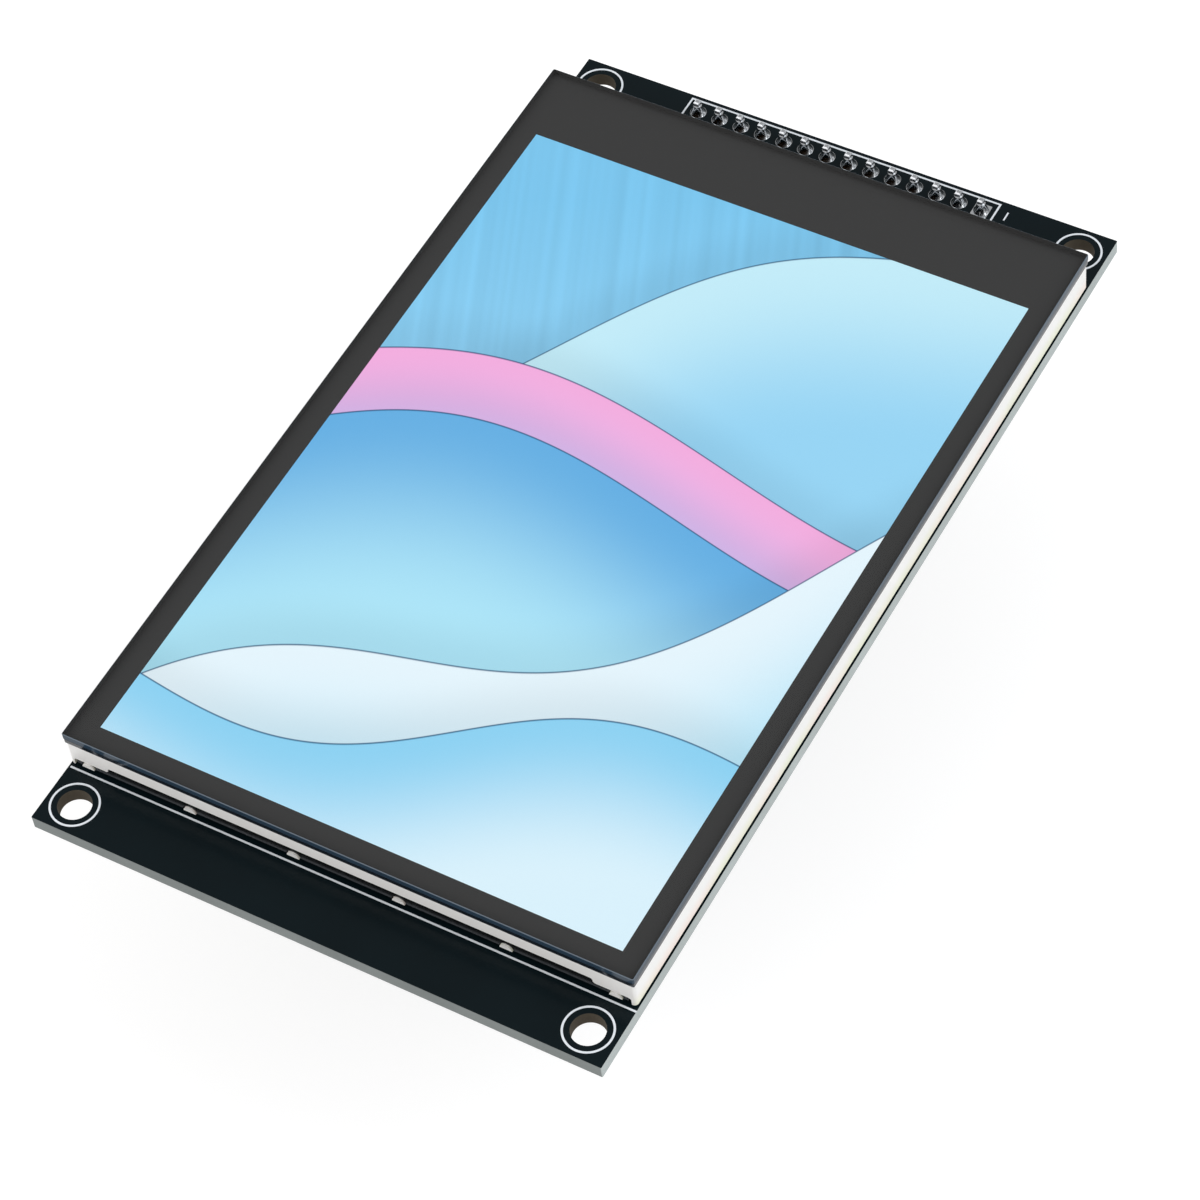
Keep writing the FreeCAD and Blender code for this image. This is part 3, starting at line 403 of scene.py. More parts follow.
@dataclass(frozen=True)
class PaneGlass(Finish):
    """Float glass, clear through its broad faces and dark blue-grey through its ground edge.

    Attributes:
        use: an outer pane mirrors a little on top and has ink on its underside, a masked one only has the
            ink, and an inner one is clear all over.
        bevel: colour of the ground bevel, which scatters light.
        bevel_roughness: how rough the grinding leaves it.
        ink: colour of the printed border, and of the edge as it is seen through the glass, where it is a
        painted reflection of the border.
        window_mm: the least and greatest X and Y of the clear window in the ink.
        inked_below_mm: height under which a broad face counts as the pane's underside.
        mirror_ior: index of refraction that sets how much an outer pane mirrors.
        mirror_roughness: roughness of that mirror.
    """

    use: PaneUse = PaneUse.OUTER
    bevel: str = "#65707b"
    bevel_roughness: float = 0.45
    ink: str = "#3a3a3a"
    window_mm: tuple[float, float, float, float] = (-28.25, 28.25, -44.6, 38.85)
    inked_below_mm: float = 6.2
    mirror_ior: float = 1.25
    mirror_roughness: float = 0.03

    def pattern(self, tree: Tree, shader: bpy.types.Node) -> None:
        """Keeps the shader for the edges, and makes the broad faces see-through.

        Args:
            tree: the material's node tree.
            shader: its Principled node.
        """
        bevelled = leaning(tree, BEVEL_FACE)
        colour = add(tree, "Mix", [bevelled, self.toned(tree, self.colour), self.bevel], data_type="RGBA")
        tree.links.new(colour, shader.inputs["Base Color"])
        rough = add(tree, "Mix", [bevelled, self.roughness, self.bevel_roughness], data_type="FLOAT")
        tree.links.new(rough, shader.inputs["Roughness"])
        clear = add(tree, "BsdfTransparent")
        ink = add(tree, "BsdfDiffuse", {"Color": self.ink})
        # Seen from inside, the edges take the ink's colour: a painted reflection of the printed border
        inside = add(tree, "NewGeometry", out="Backfacing")
        walls = add(tree, "MixShader", [inside, shader.outputs[0], ink])
        face = clear
        if self.use is PaneUse.OUTER:
            mirror = add(tree, "BsdfGlossy", {"Roughness": self.mirror_roughness})
            face = add(tree, "MixShader", [add(tree, "Fresnel", [self.mirror_ior]), clear, mirror])
        if self.use is not PaneUse.INNER:
            below = add(tree, "MixShader", [self.printed(tree), clear, ink])
            face = add(tree, "MixShader", [inside, face, below])
        whole = add(tree, "MixShader", [leaning(tree, LEVEL_FACE), walls, face])
        tree.links.new(whole, tree.nodes["Material Output"].inputs["Surface"])

    def printed(self, tree: Tree) -> Socket:
        """Tells the printed border on the underside from the window.

        Args:
            tree: the material's node tree.

        Returns:
            A socket that is 1 on the border and 0 elsewhere.
        """
        window: Socket | float = 1.0
        for axis, limit, test in zip("XXYY", self.window_mm, ("GREATER_THAN", "LESS_THAN") * 2):
            held = add(tree, "Math", [coordinate(tree, axis), limit * MM], operation=test)
            window = add(tree, "Math", [window, held], operation="MULTIPLY")
        bottom = add(tree, "Math", [coordinate(tree, "Z"), self.inked_below_mm * MM], operation="LESS_THAN")
        around = add(tree, "Math", [1.0, window], operation="SUBTRACT")
        return add(tree, "Math", [around, bottom], operation="MULTIPLY")


@dataclass(frozen=True)
class Swell:
    """One broad wave of the picture that the display shows.

    Attributes:
        rise: height of its crest line at the picture's middle, in millimetres.
        slope: how much the crest line climbs for each millimetre across.
        sway: height of its bend.
        length: width of one bend.
        start: where the bend starts, as an angle.
        depth: how far the crest's colour reaches down, in millimetres.
        crest: colour under the crest line.
        foot: colour further down.
    """

    rise: float
    slope: float
    sway: float
    length: float
    start: float
    depth: float
    crest: str
    foot: str


@dataclass(frozen=True)
class LitPicture(Finish):
    """The upper polariser of a lit display: smooth film, with a soft picture of broad waves in its own light.

    Attributes:
        sky: colours of the field behind the waves, from its low end to its high end.
        swells: the waves, from the farthest to the nearest.
        edge: colour of the thin line along each crest.
        edge_mm: width of that line.
        blend_mm: width over which a wave's edge is softened.
        shade: brightness of what lies right behind a wave's edge.
        shade_mm: how far a wave's soft shade reaches over what lies behind it.
        pleat: share by which the field's fine upright pleats are lighter or darker.
        pleat_mm: width of one pleat.
        pleat_span: values of the pleats' noise between which they go from dark to light.
        turn: how far the whole picture is turned, in degrees.
        half_height_mm: half of the picture's height.
        middle_mm: height of the picture's middle on the module.
    """

    sky: tuple[str, str] = ("#aee0f8", "#7cc6ee")
    swells: tuple[Swell, ...] = ()
    edge: str = "#174a73"
    edge_mm: float = 0.3
    blend_mm: float = 0.12
    shade: float = 0.89
    shade_mm: float = 7.0
    pleat: float = 0.06
    pleat_mm: float = 1.6
    pleat_span: Point = (0.25, 0.75)
    turn: float = -24.0
    half_height_mm: float = 41.7
    middle_mm: float = -2.9

    def pattern(self, tree: Tree, shader: bpy.types.Node) -> None:
        """Lays the waves over the sky, each one in front of the last.

        Args:
            tree: the material's node tree.
            shader: its Principled node.
        """
        turned = add(tree, "Mapping", [add(tree, "TexCoord", out="Object"), (0.0, -self.middle_mm, 0.0),
                                       (0.0, 0.0, math.radians(self.turn)), (1 / MM, 1 / MM, 0.0)])
        across, along = (add(tree, "SeparateXYZ", [turned], axis) for axis in "XY")
        height = add(tree, "MapRange", [along, -self.half_height_mm, self.half_height_mm])
        colour = add(tree, "Mix", [height, *self.sky], data_type="RGBA")
        folds = add(tree, "Math", [across, 1 / self.pleat_mm], operation="MULTIPLY")
        pleats = add(tree, "TexNoise", {"W": folds, "Scale": 1.0, "Detail": 1.0}, noise_dimensions="1D")
        gain = add(tree, "MapRange", [pleats, *self.pleat_span, 1 - self.pleat, 1 + self.pleat])
        colour = add(tree, "Mix", [1.0, colour, gain], data_type="RGBA", blend_type="MULTIPLY")
        for swell in self.swells:
            colour = self.laid_over(tree, swell, across, along, colour)
        tree.links.new(colour, shader.inputs["Emission Color"])
        shader.inputs["Emission Strength"].default_value = 1.0
        shader.inputs["Base Color"].default_value = linear(self.colour)

    def laid_over(self, tree: Tree, swell: Swell, across: Socket, along: Socket, behind: Socket) -> Socket:
        """Lays one wave over the colours behind it.

        Args:
            tree: the material's node tree.
            swell: the wave.
            across: the place across the picture in millimetres.
            along: the place up the picture in millimetres.
            behind: the colours so far.

        Returns:
            The colours with the wave in front.
        """
        turn = add(tree, "Math", [across, 2 * math.pi / swell.length, swell.start], operation="MULTIPLY_ADD")
        bend = add(tree, "Math", [turn], operation="SINE")
        line = add(tree, "Math", [across, swell.slope, swell.rise], operation="MULTIPLY_ADD")
        line = add(tree, "Math", [bend, swell.sway, line], operation="MULTIPLY_ADD")
        below = add(tree, "Math", [line, along], operation="SUBTRACT")
        shade = add(tree, "MapRange", [below, -self.shade_mm, 0.0, 1.0, self.shade],
                    interpolation_type="SMOOTHSTEP")
        behind = add(tree, "Mix", [1.0, behind, shade], data_type="RGBA", blend_type="MULTIPLY")
        reach = add(tree, "MapRange", [below, 0.0, swell.depth], interpolation_type="SMOOTHSTEP")
        body = add(tree, "Mix", [reach, swell.crest, swell.foot], data_type="RGBA")
        inner = add(tree, "MapRange", [below, self.blend_mm, self.edge_mm])
        body = add(tree, "Mix", [inner, self.edge, body], data_type="RGBA")
        covered = add(tree, "MapRange", [below, 0.0, self.blend_mm])
        return add(tree, "Mix", [covered, behind, body], data_type="RGBA")


@dataclass(frozen=True)
class DippedPin(Finish):
    """Gold-plated pins whose tails were wetted by the solder.

    Attributes:
        tin: colour of the solder's skin.
        level_mm: height above which the skin covers the gold.
        fade_mm: height over which one turns to the other.
    """

    tin: str = "#c9ccd0"
    level_mm: float = 1.7
    fade_mm: float = 0.2

    def paint(self, tree: Tree) -> Socket:
        """Turns the gold to tin above the board.

        Args:
            tree: the material's node tree.

        Returns:
            The blended colour.
        """
        limits = [self.level_mm * MM, (self.level_mm + self.fade_mm) * MM]
        dipped = add(tree, "MapRange", [coordinate(tree, "Z"), *limits])
        return add(tree, "Mix", [dipped, self.toned(tree, self.colour), self.tin], data_type="RGBA")


@dataclass(frozen=True)
class TracedRibbon(Finish):
    """Amber polyimide ribbon with etched copper lines that show through it.

    Attributes:
        copper: colour of the lines under the film.
        pitch_mm: distance from line to line across the ribbon.
        blur: value of the lines' wave, from -1 to 1, up to which their edges are soft.
    """

    copper: str = "#3a2610"
    pitch_mm: float = 0.5
    blur: float = 0.15

    def pattern(self, tree: Tree, shader: bpy.types.Node) -> None:
        """Draws the copper lines along the ribbon, in colour and in height.

        Args:
            tree: the material's node tree.
            shader: its Principled node.
        """
        rate = 2 * math.pi / (self.pitch_mm * MM)
        turn = add(tree, "Math", [coordinate(tree, "X"), rate], operation="MULTIPLY")
        wave = add(tree, "Math", [turn], operation="SINE")
        line = add(tree, "MapRange", [wave, -self.blur, self.blur])
        colour = add(tree, "Mix", [line, self.toned(tree, self.colour), self.copper], data_type="RGBA")
        tree.links.new(colour, shader.inputs["Base Color"])
        self.emboss(tree, shader, line)


SWELLS = (
    Swell(24.0, 0.30, 5.0, 74.0, 0.4, 24.0, "#c4edfa", "#97d5f5"),
    Swell(11.0, -0.34, 6.0, 86.0, 2.2, 15.0, "#f4aee0", "#cfc4fa"),
    Swell(2.5, -0.26, 7.0, 86.0, 2.5, 26.0, "#66b0e4", "#aee6f9"),
    Swell(-12.0, 0.30, 6.0, 78.0, 4.4, 26.0, "#e6f6fe", "#a9e1f7"),
    Swell(-27.0, -0.20, 4.5, 64.0, 1.0, 18.0, "#8dd2f3", "#daf2fd"),
)

# Liquid photo-imageable mask over bare copper and laminate: a dark, wet-looking, slightly wavy coat
BOARD = MaskedLaminate("black solder mask on glass epoxy", "#091519", roughness=0.2, specular=0.12, tone=0.12,
                       tone_mm=9.0, grain_mm=0.7, grain_um=0.8)
# Moulded white polycarbonate: even and satin, with painted cream light low on its long sides
WHITE = WhiteMoulding("white polycarbonate", "#ecebe9", roughness=0.38, tone=0.015, grain_um=1.0)
# Tin-plated cold-rolled steel: mirror-like, with faint rolling lines along the sheet
STEEL = Finish("tinned steel sheet", "#aeb2b5", roughness=0.12, metallic=1.0, tone=0.05, tone_mm=6.0,
               grain_mm=0.08, grain_um=0.6, stretch=(14.0, 1.0, 1.0))
# The same sheet, painted darker as shade where it lies between frame and board, and a little rougher
SHADED_TRAY = Finish("tinned steel painted dark for shade", "#303236", roughness=0.2, metallic=1.0, tone=0.06, tone_mm=6.0,
              grain_mm=0.08, grain_um=0.8, stretch=(1.0, 14.0, 1.0))
# Soda-lime glass with a ground edge: clear through the face, dark blue-grey through the edge
COVER = PaneGlass("cover glass", "#2a3b4a", roughness=0.08, specular=0.12, ior=1.52, tone=0.1)
# Thin soda-lime glass with a masked rim: a nearly black band from the side
SENSOR = PaneGlass("touch sensor glass", "#161d25", roughness=0.1, ior=1.52, tone=0.1, use=PaneUse.MASKED,
                   window_mm=(-28.9, 28.9, -45.2, 39.5), inked_below_mm=5.4)
# Acrylic adhesive between the two glasses: unseen from above, a dull dark line from the side
ADHESIVE = PaneGlass("optically clear adhesive", "#202a33", roughness=0.3, ior=1.47, use=PaneUse.INNER)
# Screen-printed ink on the back of the cover: flat dark grey
BORDER = Finish("printed border ink", "#3a3a3a", roughness=1.0, specular=0.0, tone=0.01, grain_um=0.0)
# Cellulose polariser over the lit cell: a satin film whose colours glow evenly
PICTURE = LitPicture("polariser film over the lit picture", "#05070a", roughness=0.3, specular=0.2,
                     swells=SWELLS)
# The same film with no picture behind it: smoky grey
POLARISER = Finish("polariser film", "#20242a", roughness=0.3, tone=0.03)
# Polished alkali-free glass over its wiring: grey-green and glossy
CELL = Finish("cell glass", "#5f7480", roughness=0.08, ior=1.52, tone=0.05)
# Filled and ribbed polyester films: pearly white
FILM = Finish("pearl film", "#e9ebee", roughness=0.3, tone=0.02, grain_um=0.6)
# Moulded acrylic over a white film: pale and glossy
GUIDE = Finish("acrylic light guide", "#dfe8ec", roughness=0.12, ior=1.49, tone=0.02)
# Phosphor-filled silicone: soft pale yellow
EMITTER = Finish("emitter resin", "#efe39a", roughness=0.35, tone=0.04)
# Polished back of a bare chip: dark mirror
SILICON = Finish("polished silicon", "#34343c", roughness=0.1, metallic=1.0, tone=0.05)
# Closed-cell polyethylene foam: dull black with fine pores
FOAM = Finish("black foam tape", "#15161a", roughness=0.9, tone=0.15, tone_mm=0.8, grain_mm=0.2,
              grain_um=20.0)
# Polyimide film over etched copper: dark amber with lines, drawn coarser than real so that they show
RIBBON = TracedRibbon("polyimide ribbon", "#20150c", roughness=0.3, tone=0.08, grain_um=8.0)
# Glass-filled nylon: black with a fine moulded texture
NYLON = Finish("black glass-filled nylon", "#141416", roughness=0.5, tone=0.12, tone_mm=1.5, grain_mm=0.09,
               grain_um=4.0)
# Moulded liquid-crystal polymer: cream and waxy, with faint flow marks
CREAM = Finish("cream liquid-crystal polymer", "#d8cdb0", roughness=0.5, tone=0.05, tone_mm=1.2, grain_um=3.0)
# Gold flash over nickel: soft yellow mirror
GOLD = Finish("gold flash on brass", "#d9b364", roughness=0.22, metallic=1.0, tone=0.06, tone_mm=1.0,
              grain_um=0.8)
# The same plating, silver-grey where the solder ran up it
PIN = DippedPin("gold flash with tinned tails", "#d9b364", roughness=0.2, metallic=1.0, tone=0.06,
                tone_mm=1.0, grain_um=0.8)
# Lead-free tin solder: bright, with a slightly frosted skin
SOLDER = Finish("tin solder", "#d6d9dc", roughness=0.15, metallic=1.0, tone=0.06, tone_mm=0.5, grain_mm=0.2,
                grain_um=1.2)
# Epoxy moulding compound: grey-black and matt, with a fine spark-eroded texture
EPOXY = Finish("epoxy moulding compound", "#1b1b1d", roughness=0.62, tone=0.12, tone_mm=0.8, grain_mm=0.08,
               grain_um=6.0)
# Fired ceramic: tan and dull, slightly speckled
CERAMIC = Finish("barium titanate ceramic", "#9b7a55", roughness=0.5, tone=0.1, tone_mm=0.4, grain_um=3.0)
# Epoxy screen ink: chalky white, a little proud of the mask
INK = Finish("white legend ink", "#e3e8ee", roughness=0.55, tone=0.04, tone_mm=0.8, grain_mm=0.1,
             grain_um=5.0)
# Mask where copper runs beneath it: a shade lighter than over the bare laminate
TRACE = Finish("solder mask over copper", "#161c20", roughness=0.2, specular=0.3, tone=0.08)

NODE_FINISHES: dict[Finish, tuple[str, ...]] = {
    BOARD: ("circuit_board",),
    NYLON: ("header_housing", "ribbon_socket_lever", "card_socket_base"),
    PIN: ("header_pins",),
    GOLD: ("ribbon_socket_contacts", "card_socket_contacts"),
    FOAM: ("mounting_tape", "rim_tape", "panel_gasket"),
    STEEL: ("card_socket_shell",),
    SHADED_TRAY: ("steel_tray",),
    WHITE: ("light_frame",),
    FILM: ("reflector_film", "diffuser_film", "lower_prism_film", "upper_prism_film"),
    GUIDE: ("light_guide",),
    RIBBON: ("led_strip", "display_ribbon", "touch_ribbon"),
    EMITTER: ("leds",),
    POLARISER: ("lower_polariser",),
    CELL: ("tft_glass", "filter_glass"),
    PICTURE: ("upper_polariser",),
    SILICON: ("driver_chip",),
    EPOXY: ("touch_controller", "regulator_body", "transistor_body", "resistor_bodies"),
    SENSOR: ("touch_sensor_glass",),
    ADHESIVE: ("optical_adhesive",),
    BORDER: ("border_print",),
    COVER: ("cover_glass",),
    CREAM: ("ribbon_socket_housing",),
    SOLDER: ("ribbon_socket_tabs", "regulator_leads", "transistor_leads", "resistor_caps", "capacitor_caps"),
    CERAMIC: ("capacitor_bodies",),
}


# Modelling by hand


def begin() -> None:
    """Deselects everything, so that the next operator acts on its own object alone."""
    bpy.ops.object.select_all(action="DESELECT")


def pick(piece: bpy.types.Object) -> None:
    """Selects one piece alone and makes it the active one.

    Args:
        piece: the piece.
    """
    begin()
    piece.select_set(True)
    bpy.context.view_layer.objects.active = piece


def pick_faces(piece: bpy.types.Object, test: Callable[[bmesh.types.BMFace], bool]) -> None:
    """Selects the faces that pass a test, in edit mode.

    Args:
        piece: the object in edit mode.
        test: says whether a face is wanted.
    """
    mesh = bmesh.from_edit_mesh(piece.data)
    bpy.ops.mesh.select_all(action="DESELECT")
    for face in mesh.faces:
        face.select_set(test(face))
    mesh.select_flush_mode()
    bmesh.update_edit_mesh(piece.data)


def settle(piece: bpy.types.Object) -> None:
    """Moves a piece's place, turn and size into its mesh."""
    pick(piece)
    bpy.ops.object.transform_apply(location=True, rotation=True, scale=True)


def copied(piece: bpy.types.Object, places: Iterable[Point]) -> list[bpy.types.Object]:
    """Copies a piece to other places, each copy with its own mesh, and removes the piece.

    Args:
        piece: the piece as modelled at the origin.
        places: where each copy goes, in millimetres.

    Returns:
        The copies.
    """
    copies = []
    for x, y in places:
        twin = piece.copy()
        twin.data = piece.data.copy()
        bpy.context.collection.objects.link(twin)
        twin.data.transform(Matrix.Translation((x * MM, y * MM, 0)))
        copies.append(twin)
    bpy.data.objects.remove(piece)
    return copies


def joined(pieces: Sequence[bpy.types.Object], name: str, finish: bpy.types.Material,
           body: str = MODULE) -> bpy.types.Object:
    """Joins pieces into one, dresses it and hangs it on its body.

    Args:
        pieces: what to join.
        name: the piece's name.
        finish: its material.
        body: the body that it moves with.

    Returns:
        The finished piece.
    """
    begin()
    for piece in pieces:
        piece.select_set(True)
    bpy.context.view_layer.objects.active = pieces[0]
    if len(pieces) > 1:
        bpy.ops.object.join()
    whole = bpy.context.view_layer.objects.active
    settle(whole)
    whole.name = name
    whole.data.materials.clear()
    whole.data.materials.append(finish)
    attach(whole, body)
    LOG.info("%s: %d faces", name, len(whole.data.polygons))
    return whole


def box_mm(node: str) -> tuple[tuple[float, ...], tuple[float, ...]]:
    """Gives a node's lowest and highest corners in millimetres."""
    low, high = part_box(node)
    return tuple(c / MM for c in low), tuple(c / MM for c in high)


def row(count: int, first: float, last: float) -> list[float]:
    """Gives evenly spaced places.

    Args:
        count: how many there are.
        first: the first of them.
        last: the last. One alone lies midway.

    Returns:
        The places in order.
    """
    if count == 1:
        return [(first + last) / 2]
    return [first + (last - first) * i / (count - 1) for i in range(count)]


@dataclass
class PrintedLayer:
    """Flat shapes of one thickness on one face, such as ink, mask over copper or tinned pads.

    Attributes:
        side: the face that it lies on.
        level: height of that face in millimetres.
        thickness: thickness of the layer.
        round_steps: edges in each rounded corner of a bar.
        mitre: least cosine that a line's corner is drawn out by, so that a sharp one stays short.
        digit_scale: size of the letter square beside a digit's height.
        digit_steps: edges in each curve of a digit.
        shapes: what has been drawn so far.
    """

    side: Side
    level: float
    thickness: float
    round_steps: int = 4
    mitre: float = 0.5
    digit_scale: float = 1.4
    digit_steps: int = 3
    shapes: list[bpy.types.Object] = field(default_factory=list)

    def keep(self) -> bpy.types.Object:
        """Keeps the active object as one of the layer's shapes."""
        self.shapes.append(bpy.context.active_object)
        return self.shapes[-1]

    def sheet(self) -> bpy.types.Object:
        """Adds a square of one millimetre and opens it in edit mode, selected all over.

        Returns:
            The square.
        """
        begin()
        bpy.ops.mesh.primitive_plane_add(size=MM)
        shape = self.keep()
        bpy.ops.object.mode_set(mode="EDIT")
        bpy.ops.mesh.select_all(action="SELECT")
        return shape

    def ring(self, centre: Point, outer: float, inner: float = 0.0, corners: int = 64) -> None:
        """Draws a ring.

        Args:
            centre: its middle.
            outer: its outer diameter.
            inner: its inner diameter, or 0 for a full disc.
            corners: how many sides its round has.
        """
        begin()
        bpy.ops.mesh.primitive_circle_add(vertices=corners, radius=outer / 2 * MM, fill_type="NGON",
                                          location=(centre[0] * MM, centre[1] * MM, 0))
        shape = self.keep()
        if inner:
            bpy.ops.object.mode_set(mode="EDIT")
            bpy.ops.mesh.select_all(action="SELECT")
            bpy.ops.mesh.inset(thickness=(outer - inner) / 2 * MM)
            bpy.ops.mesh.delete(type="FACE")
            bpy.ops.object.mode_set(mode="OBJECT")
        settle(shape)

    def bar(self, low: Point, high: Point, round_mm: float = 0.0) -> None:
        """Draws a level bar between two corners.

        Args:
            low: its corner with the least X and Y.
            high: its corner with the most X and Y.
            round_mm: how far its corners are rounded.
        """
        self.sheet()
        bpy.ops.transform.resize(value=(high[0] - low[0], high[1] - low[1], 1))
        bpy.ops.transform.translate(value=((low[0] + high[0]) / 2 * MM, (low[1] + high[1]) / 2 * MM, 0))
        if round_mm:
            bpy.ops.mesh.bevel(offset=round_mm * MM, segments=self.round_steps, affect="VERTICES")
        bpy.ops.object.mode_set(mode="OBJECT")

    def border(self, low: Point, high: Point, window_low: Point, window_high: Point) -> None:
        """Draws a rectangle with a window in it.

        Args:
            low: the rectangle's corner with the least X and Y.
            high: its corner with the most X and Y.
            window_low: the window's corner with the least X and Y.
            window_high: its corner with the most X and Y.
        """
        sides = [b - a for a, b in zip(low, high)]
        margin = min(abs(a - b) for a, b in zip(low + high, window_low + window_high))
        scale = [(b - a) / (side - 2 * margin) for a, b, side in zip(window_low, window_high, sides)]
        middle = [(a + b) / 2 for a, b in zip(low, high)]
        shift = [(a + b) / 2 - m for a, b, m in zip(window_low, window_high, middle)]
        self.sheet()
        bpy.ops.transform.resize(value=(sides[0], sides[1], 1))
        bpy.ops.mesh.inset(thickness=margin * MM)
        bpy.ops.transform.resize(value=(scale[0], scale[1], 1))
        bpy.ops.transform.translate(value=(shift[0] * MM, shift[1] * MM, 0))
        bpy.ops.mesh.delete(type="FACE")
        bpy.ops.mesh.select_all(action="SELECT")
        bpy.ops.transform.translate(value=(middle[0] * MM, middle[1] * MM, 0))
        bpy.ops.object.mode_set(mode="OBJECT")

    def frame(self, low: Point, high: Point, width: float) -> None:
        """Draws the outline of a rectangle inside its two corners.

        Args:
            low: its corner with the least X and Y.
            high: its corner with the most X and Y.
            width: width of the line.
        """
        (x0, y0), (x1, y1) = low, high
        self.bar((x0, y0), (x1, y0 + width))
        self.bar((x0, y1 - width), (x1, y1))
        self.bar((x0, y0 + width), (x0 + width, y1 - width))
        self.bar((x1 - width, y0 + width), (x1, y1 - width))

    def run(self, route: Sequence[Point], width: float) -> None:
        """Draws a line of even width along a route.

        Args:
            route: its corner points.
            width: its width.
        """
        ways = [(Vector(b) - Vector(a)).normalized() for a, b in zip(route, route[1:])]
        corners = []
        for i, point in enumerate(route):
            before, after = ways[max(i - 1, 0)], ways[min(i, len(ways) - 1)]
            across = Vector((-before.y - after.y, before.x + after.x)).normalized()
            across *= width / 2 / max(across.dot(Vector((-after.y, after.x))), self.mitre)
            corners.append((Vector(point) - across, Vector(point) + across))
        shape = self.sheet()
        mesh = bmesh.from_edit_mesh(shape.data)
        first = [v for v in mesh.verts if v.co.x < 0]
        last = [v for v in mesh.verts if v.co.x > 0]
        for pair, spot in ((first, corners[0]), (last, corners[1])):
            for vert, corner in zip(sorted(pair, key=lambda v: v.co.y), spot):
                vert.co = (corner.x * MM, corner.y * MM, 0)
        bpy.ops.mesh.select_all(action="DESELECT")
        low, high = sorted(last, key=lambda v: (v.co.xy - corners[1][0] * MM).length)
        for spot in corners[2:]:
            for vert in (low, high):
                vert.select_set(True)
            mesh.select_flush(True)
            bmesh.update_edit_mesh(shape.data)
            bpy.ops.mesh.extrude_edges_move()
            mesh = bmesh.from_edit_mesh(shape.data)
            fresh = [v for v in mesh.verts if v.select]
            fresh.sort(key=lambda v: (v.co.xy - low.co.xy).length)
            low, high = fresh
            low.co = (spot[0].x * MM, spot[0].y * MM, 0)
            high.co = (spot[1].x * MM, spot[1].y * MM, 0)
            bmesh.update_edit_mesh(shape.data)
            bpy.ops.mesh.select_all(action="DESELECT")
        bpy.ops.object.mode_set(mode="OBJECT")

    def number(self, value: int, centre: Point, height: float) -> None:
        """Draws a plain number, mirrored on the back so that it reads from there.

        Args:
            value: the number.
            centre: where its middle goes.
            height: height of its digits.
        """
        begin()
        bpy.ops.object.text_add(location=(centre[0] * MM, centre[1] * MM, 0))
        text = bpy.context.active_object.data
        text.body = str(value)
        text.size = height * self.digit_scale * MM
        text.align_x = "CENTER"
        text.align_y = "CENTER"
        text.resolution_u = self.digit_steps
        bpy.ops.object.convert(target="MESH")
        shape = self.keep()
        settle(shape)
        if self.side is Side.BACK:
            flipped = Matrix.Translation((2 * centre[0] * MM, 0, 0)) @ Matrix.Diagonal((-1, 1, 1, 1))
            shape.data.transform(flipped)

    def finished(self, name: str, finish: bpy.types.Material) -> bpy.types.Object:
        """Gives the flat shapes their thickness, seats them on the board and joins them.

        Args:
            name: the layer's name.
            finish: its material.

        Returns:
            The layer.
        """
        middle = self.level + self.side.value * self.thickness / 2
        for shape in self.shapes:
            pick(shape)
            solid = shape.modifiers.new("thickness", "SOLIDIFY")
            solid.thickness = self.thickness * MM
            solid.offset = 0
            bpy.ops.object.modifier_apply(modifier=solid.name)
            shape.data.transform(Matrix.Translation((0, 0, middle * MM)))
        layer = joined(self.shapes, name, finish)
        bpy.ops.object.mode_set(mode="EDIT")
        bpy.ops.mesh.select_all(action="SELECT")
        bpy.ops.mesh.normals_make_consistent(inside=False)
        bpy.ops.object.mode_set(mode="OBJECT")
        return layer


@dataclass(frozen=True)
class Outline:
    """A white outline round a part.

    Attributes:
        node: the part.
        beside: gap at its two sides.
        below: gap at its end with the least Y.
        above: gap at its other end.
    """

    node: str
    beside: float
    below: float
    above: float

    def draw(self, layer: PrintedLayer, width: float) -> None:
        """Draws it on a layer, in lines of a given width."""
        (x0, y0, _), (x1, y1, _) = box_mm(self.node)
        layer.frame((x0 - self.beside, y0 - self.below), (x1 + self.beside, y1 + self.above), width)


@dataclass(frozen=True)
class LeadRow:
    """A row of like leads or chips on the board's back, and the tinned pads under them.

    Attributes:
        node: the node that they belong to.
        ends: the ends of the node, along Y, that the pads lie at.
        count: how many stand side by side.
        half: half the width of one.
        pad_width: width of a pad.
        under: how far a pad reaches in from the node's end.
        beyond: how far it reaches out from there.
        rounded: how far its corners are rounded.
    """

    node: str
    ends: tuple[End, ...]
    count: int
    half: float
    pad_width: float
    under: float
    beyond: float
    rounded: float = 0.0

    def middles(self) -> list[float]:
        """Gives the X of each one's middle."""
        low, high = box_mm(self.node)
        return row(self.count, low[0] + self.half, high[0] - self.half)

    def span(self, end: End) -> Point:
        """Gives the least and greatest Y of the pads at one end of the node.

        Args:
            end: that end.

        Returns:
            The two heights along Y in millimetres.
        """
        edge = box_mm(self.node)[end.value][1]
        if end is End.LOW:
            return edge - self.beyond, edge + self.under
        return edge - self.under, edge + self.beyond

    def draw(self, layer: PrintedLayer) -> None:
        """Draws the pads.

        Args:
            layer: the tin that they are part of.
        """
        for end in self.ends:
            near, far = self.span(end)
            for x in self.middles():
                layer.bar((x - self.pad_width / 2, near), (x + self.pad_width / 2, far), self.rounded)


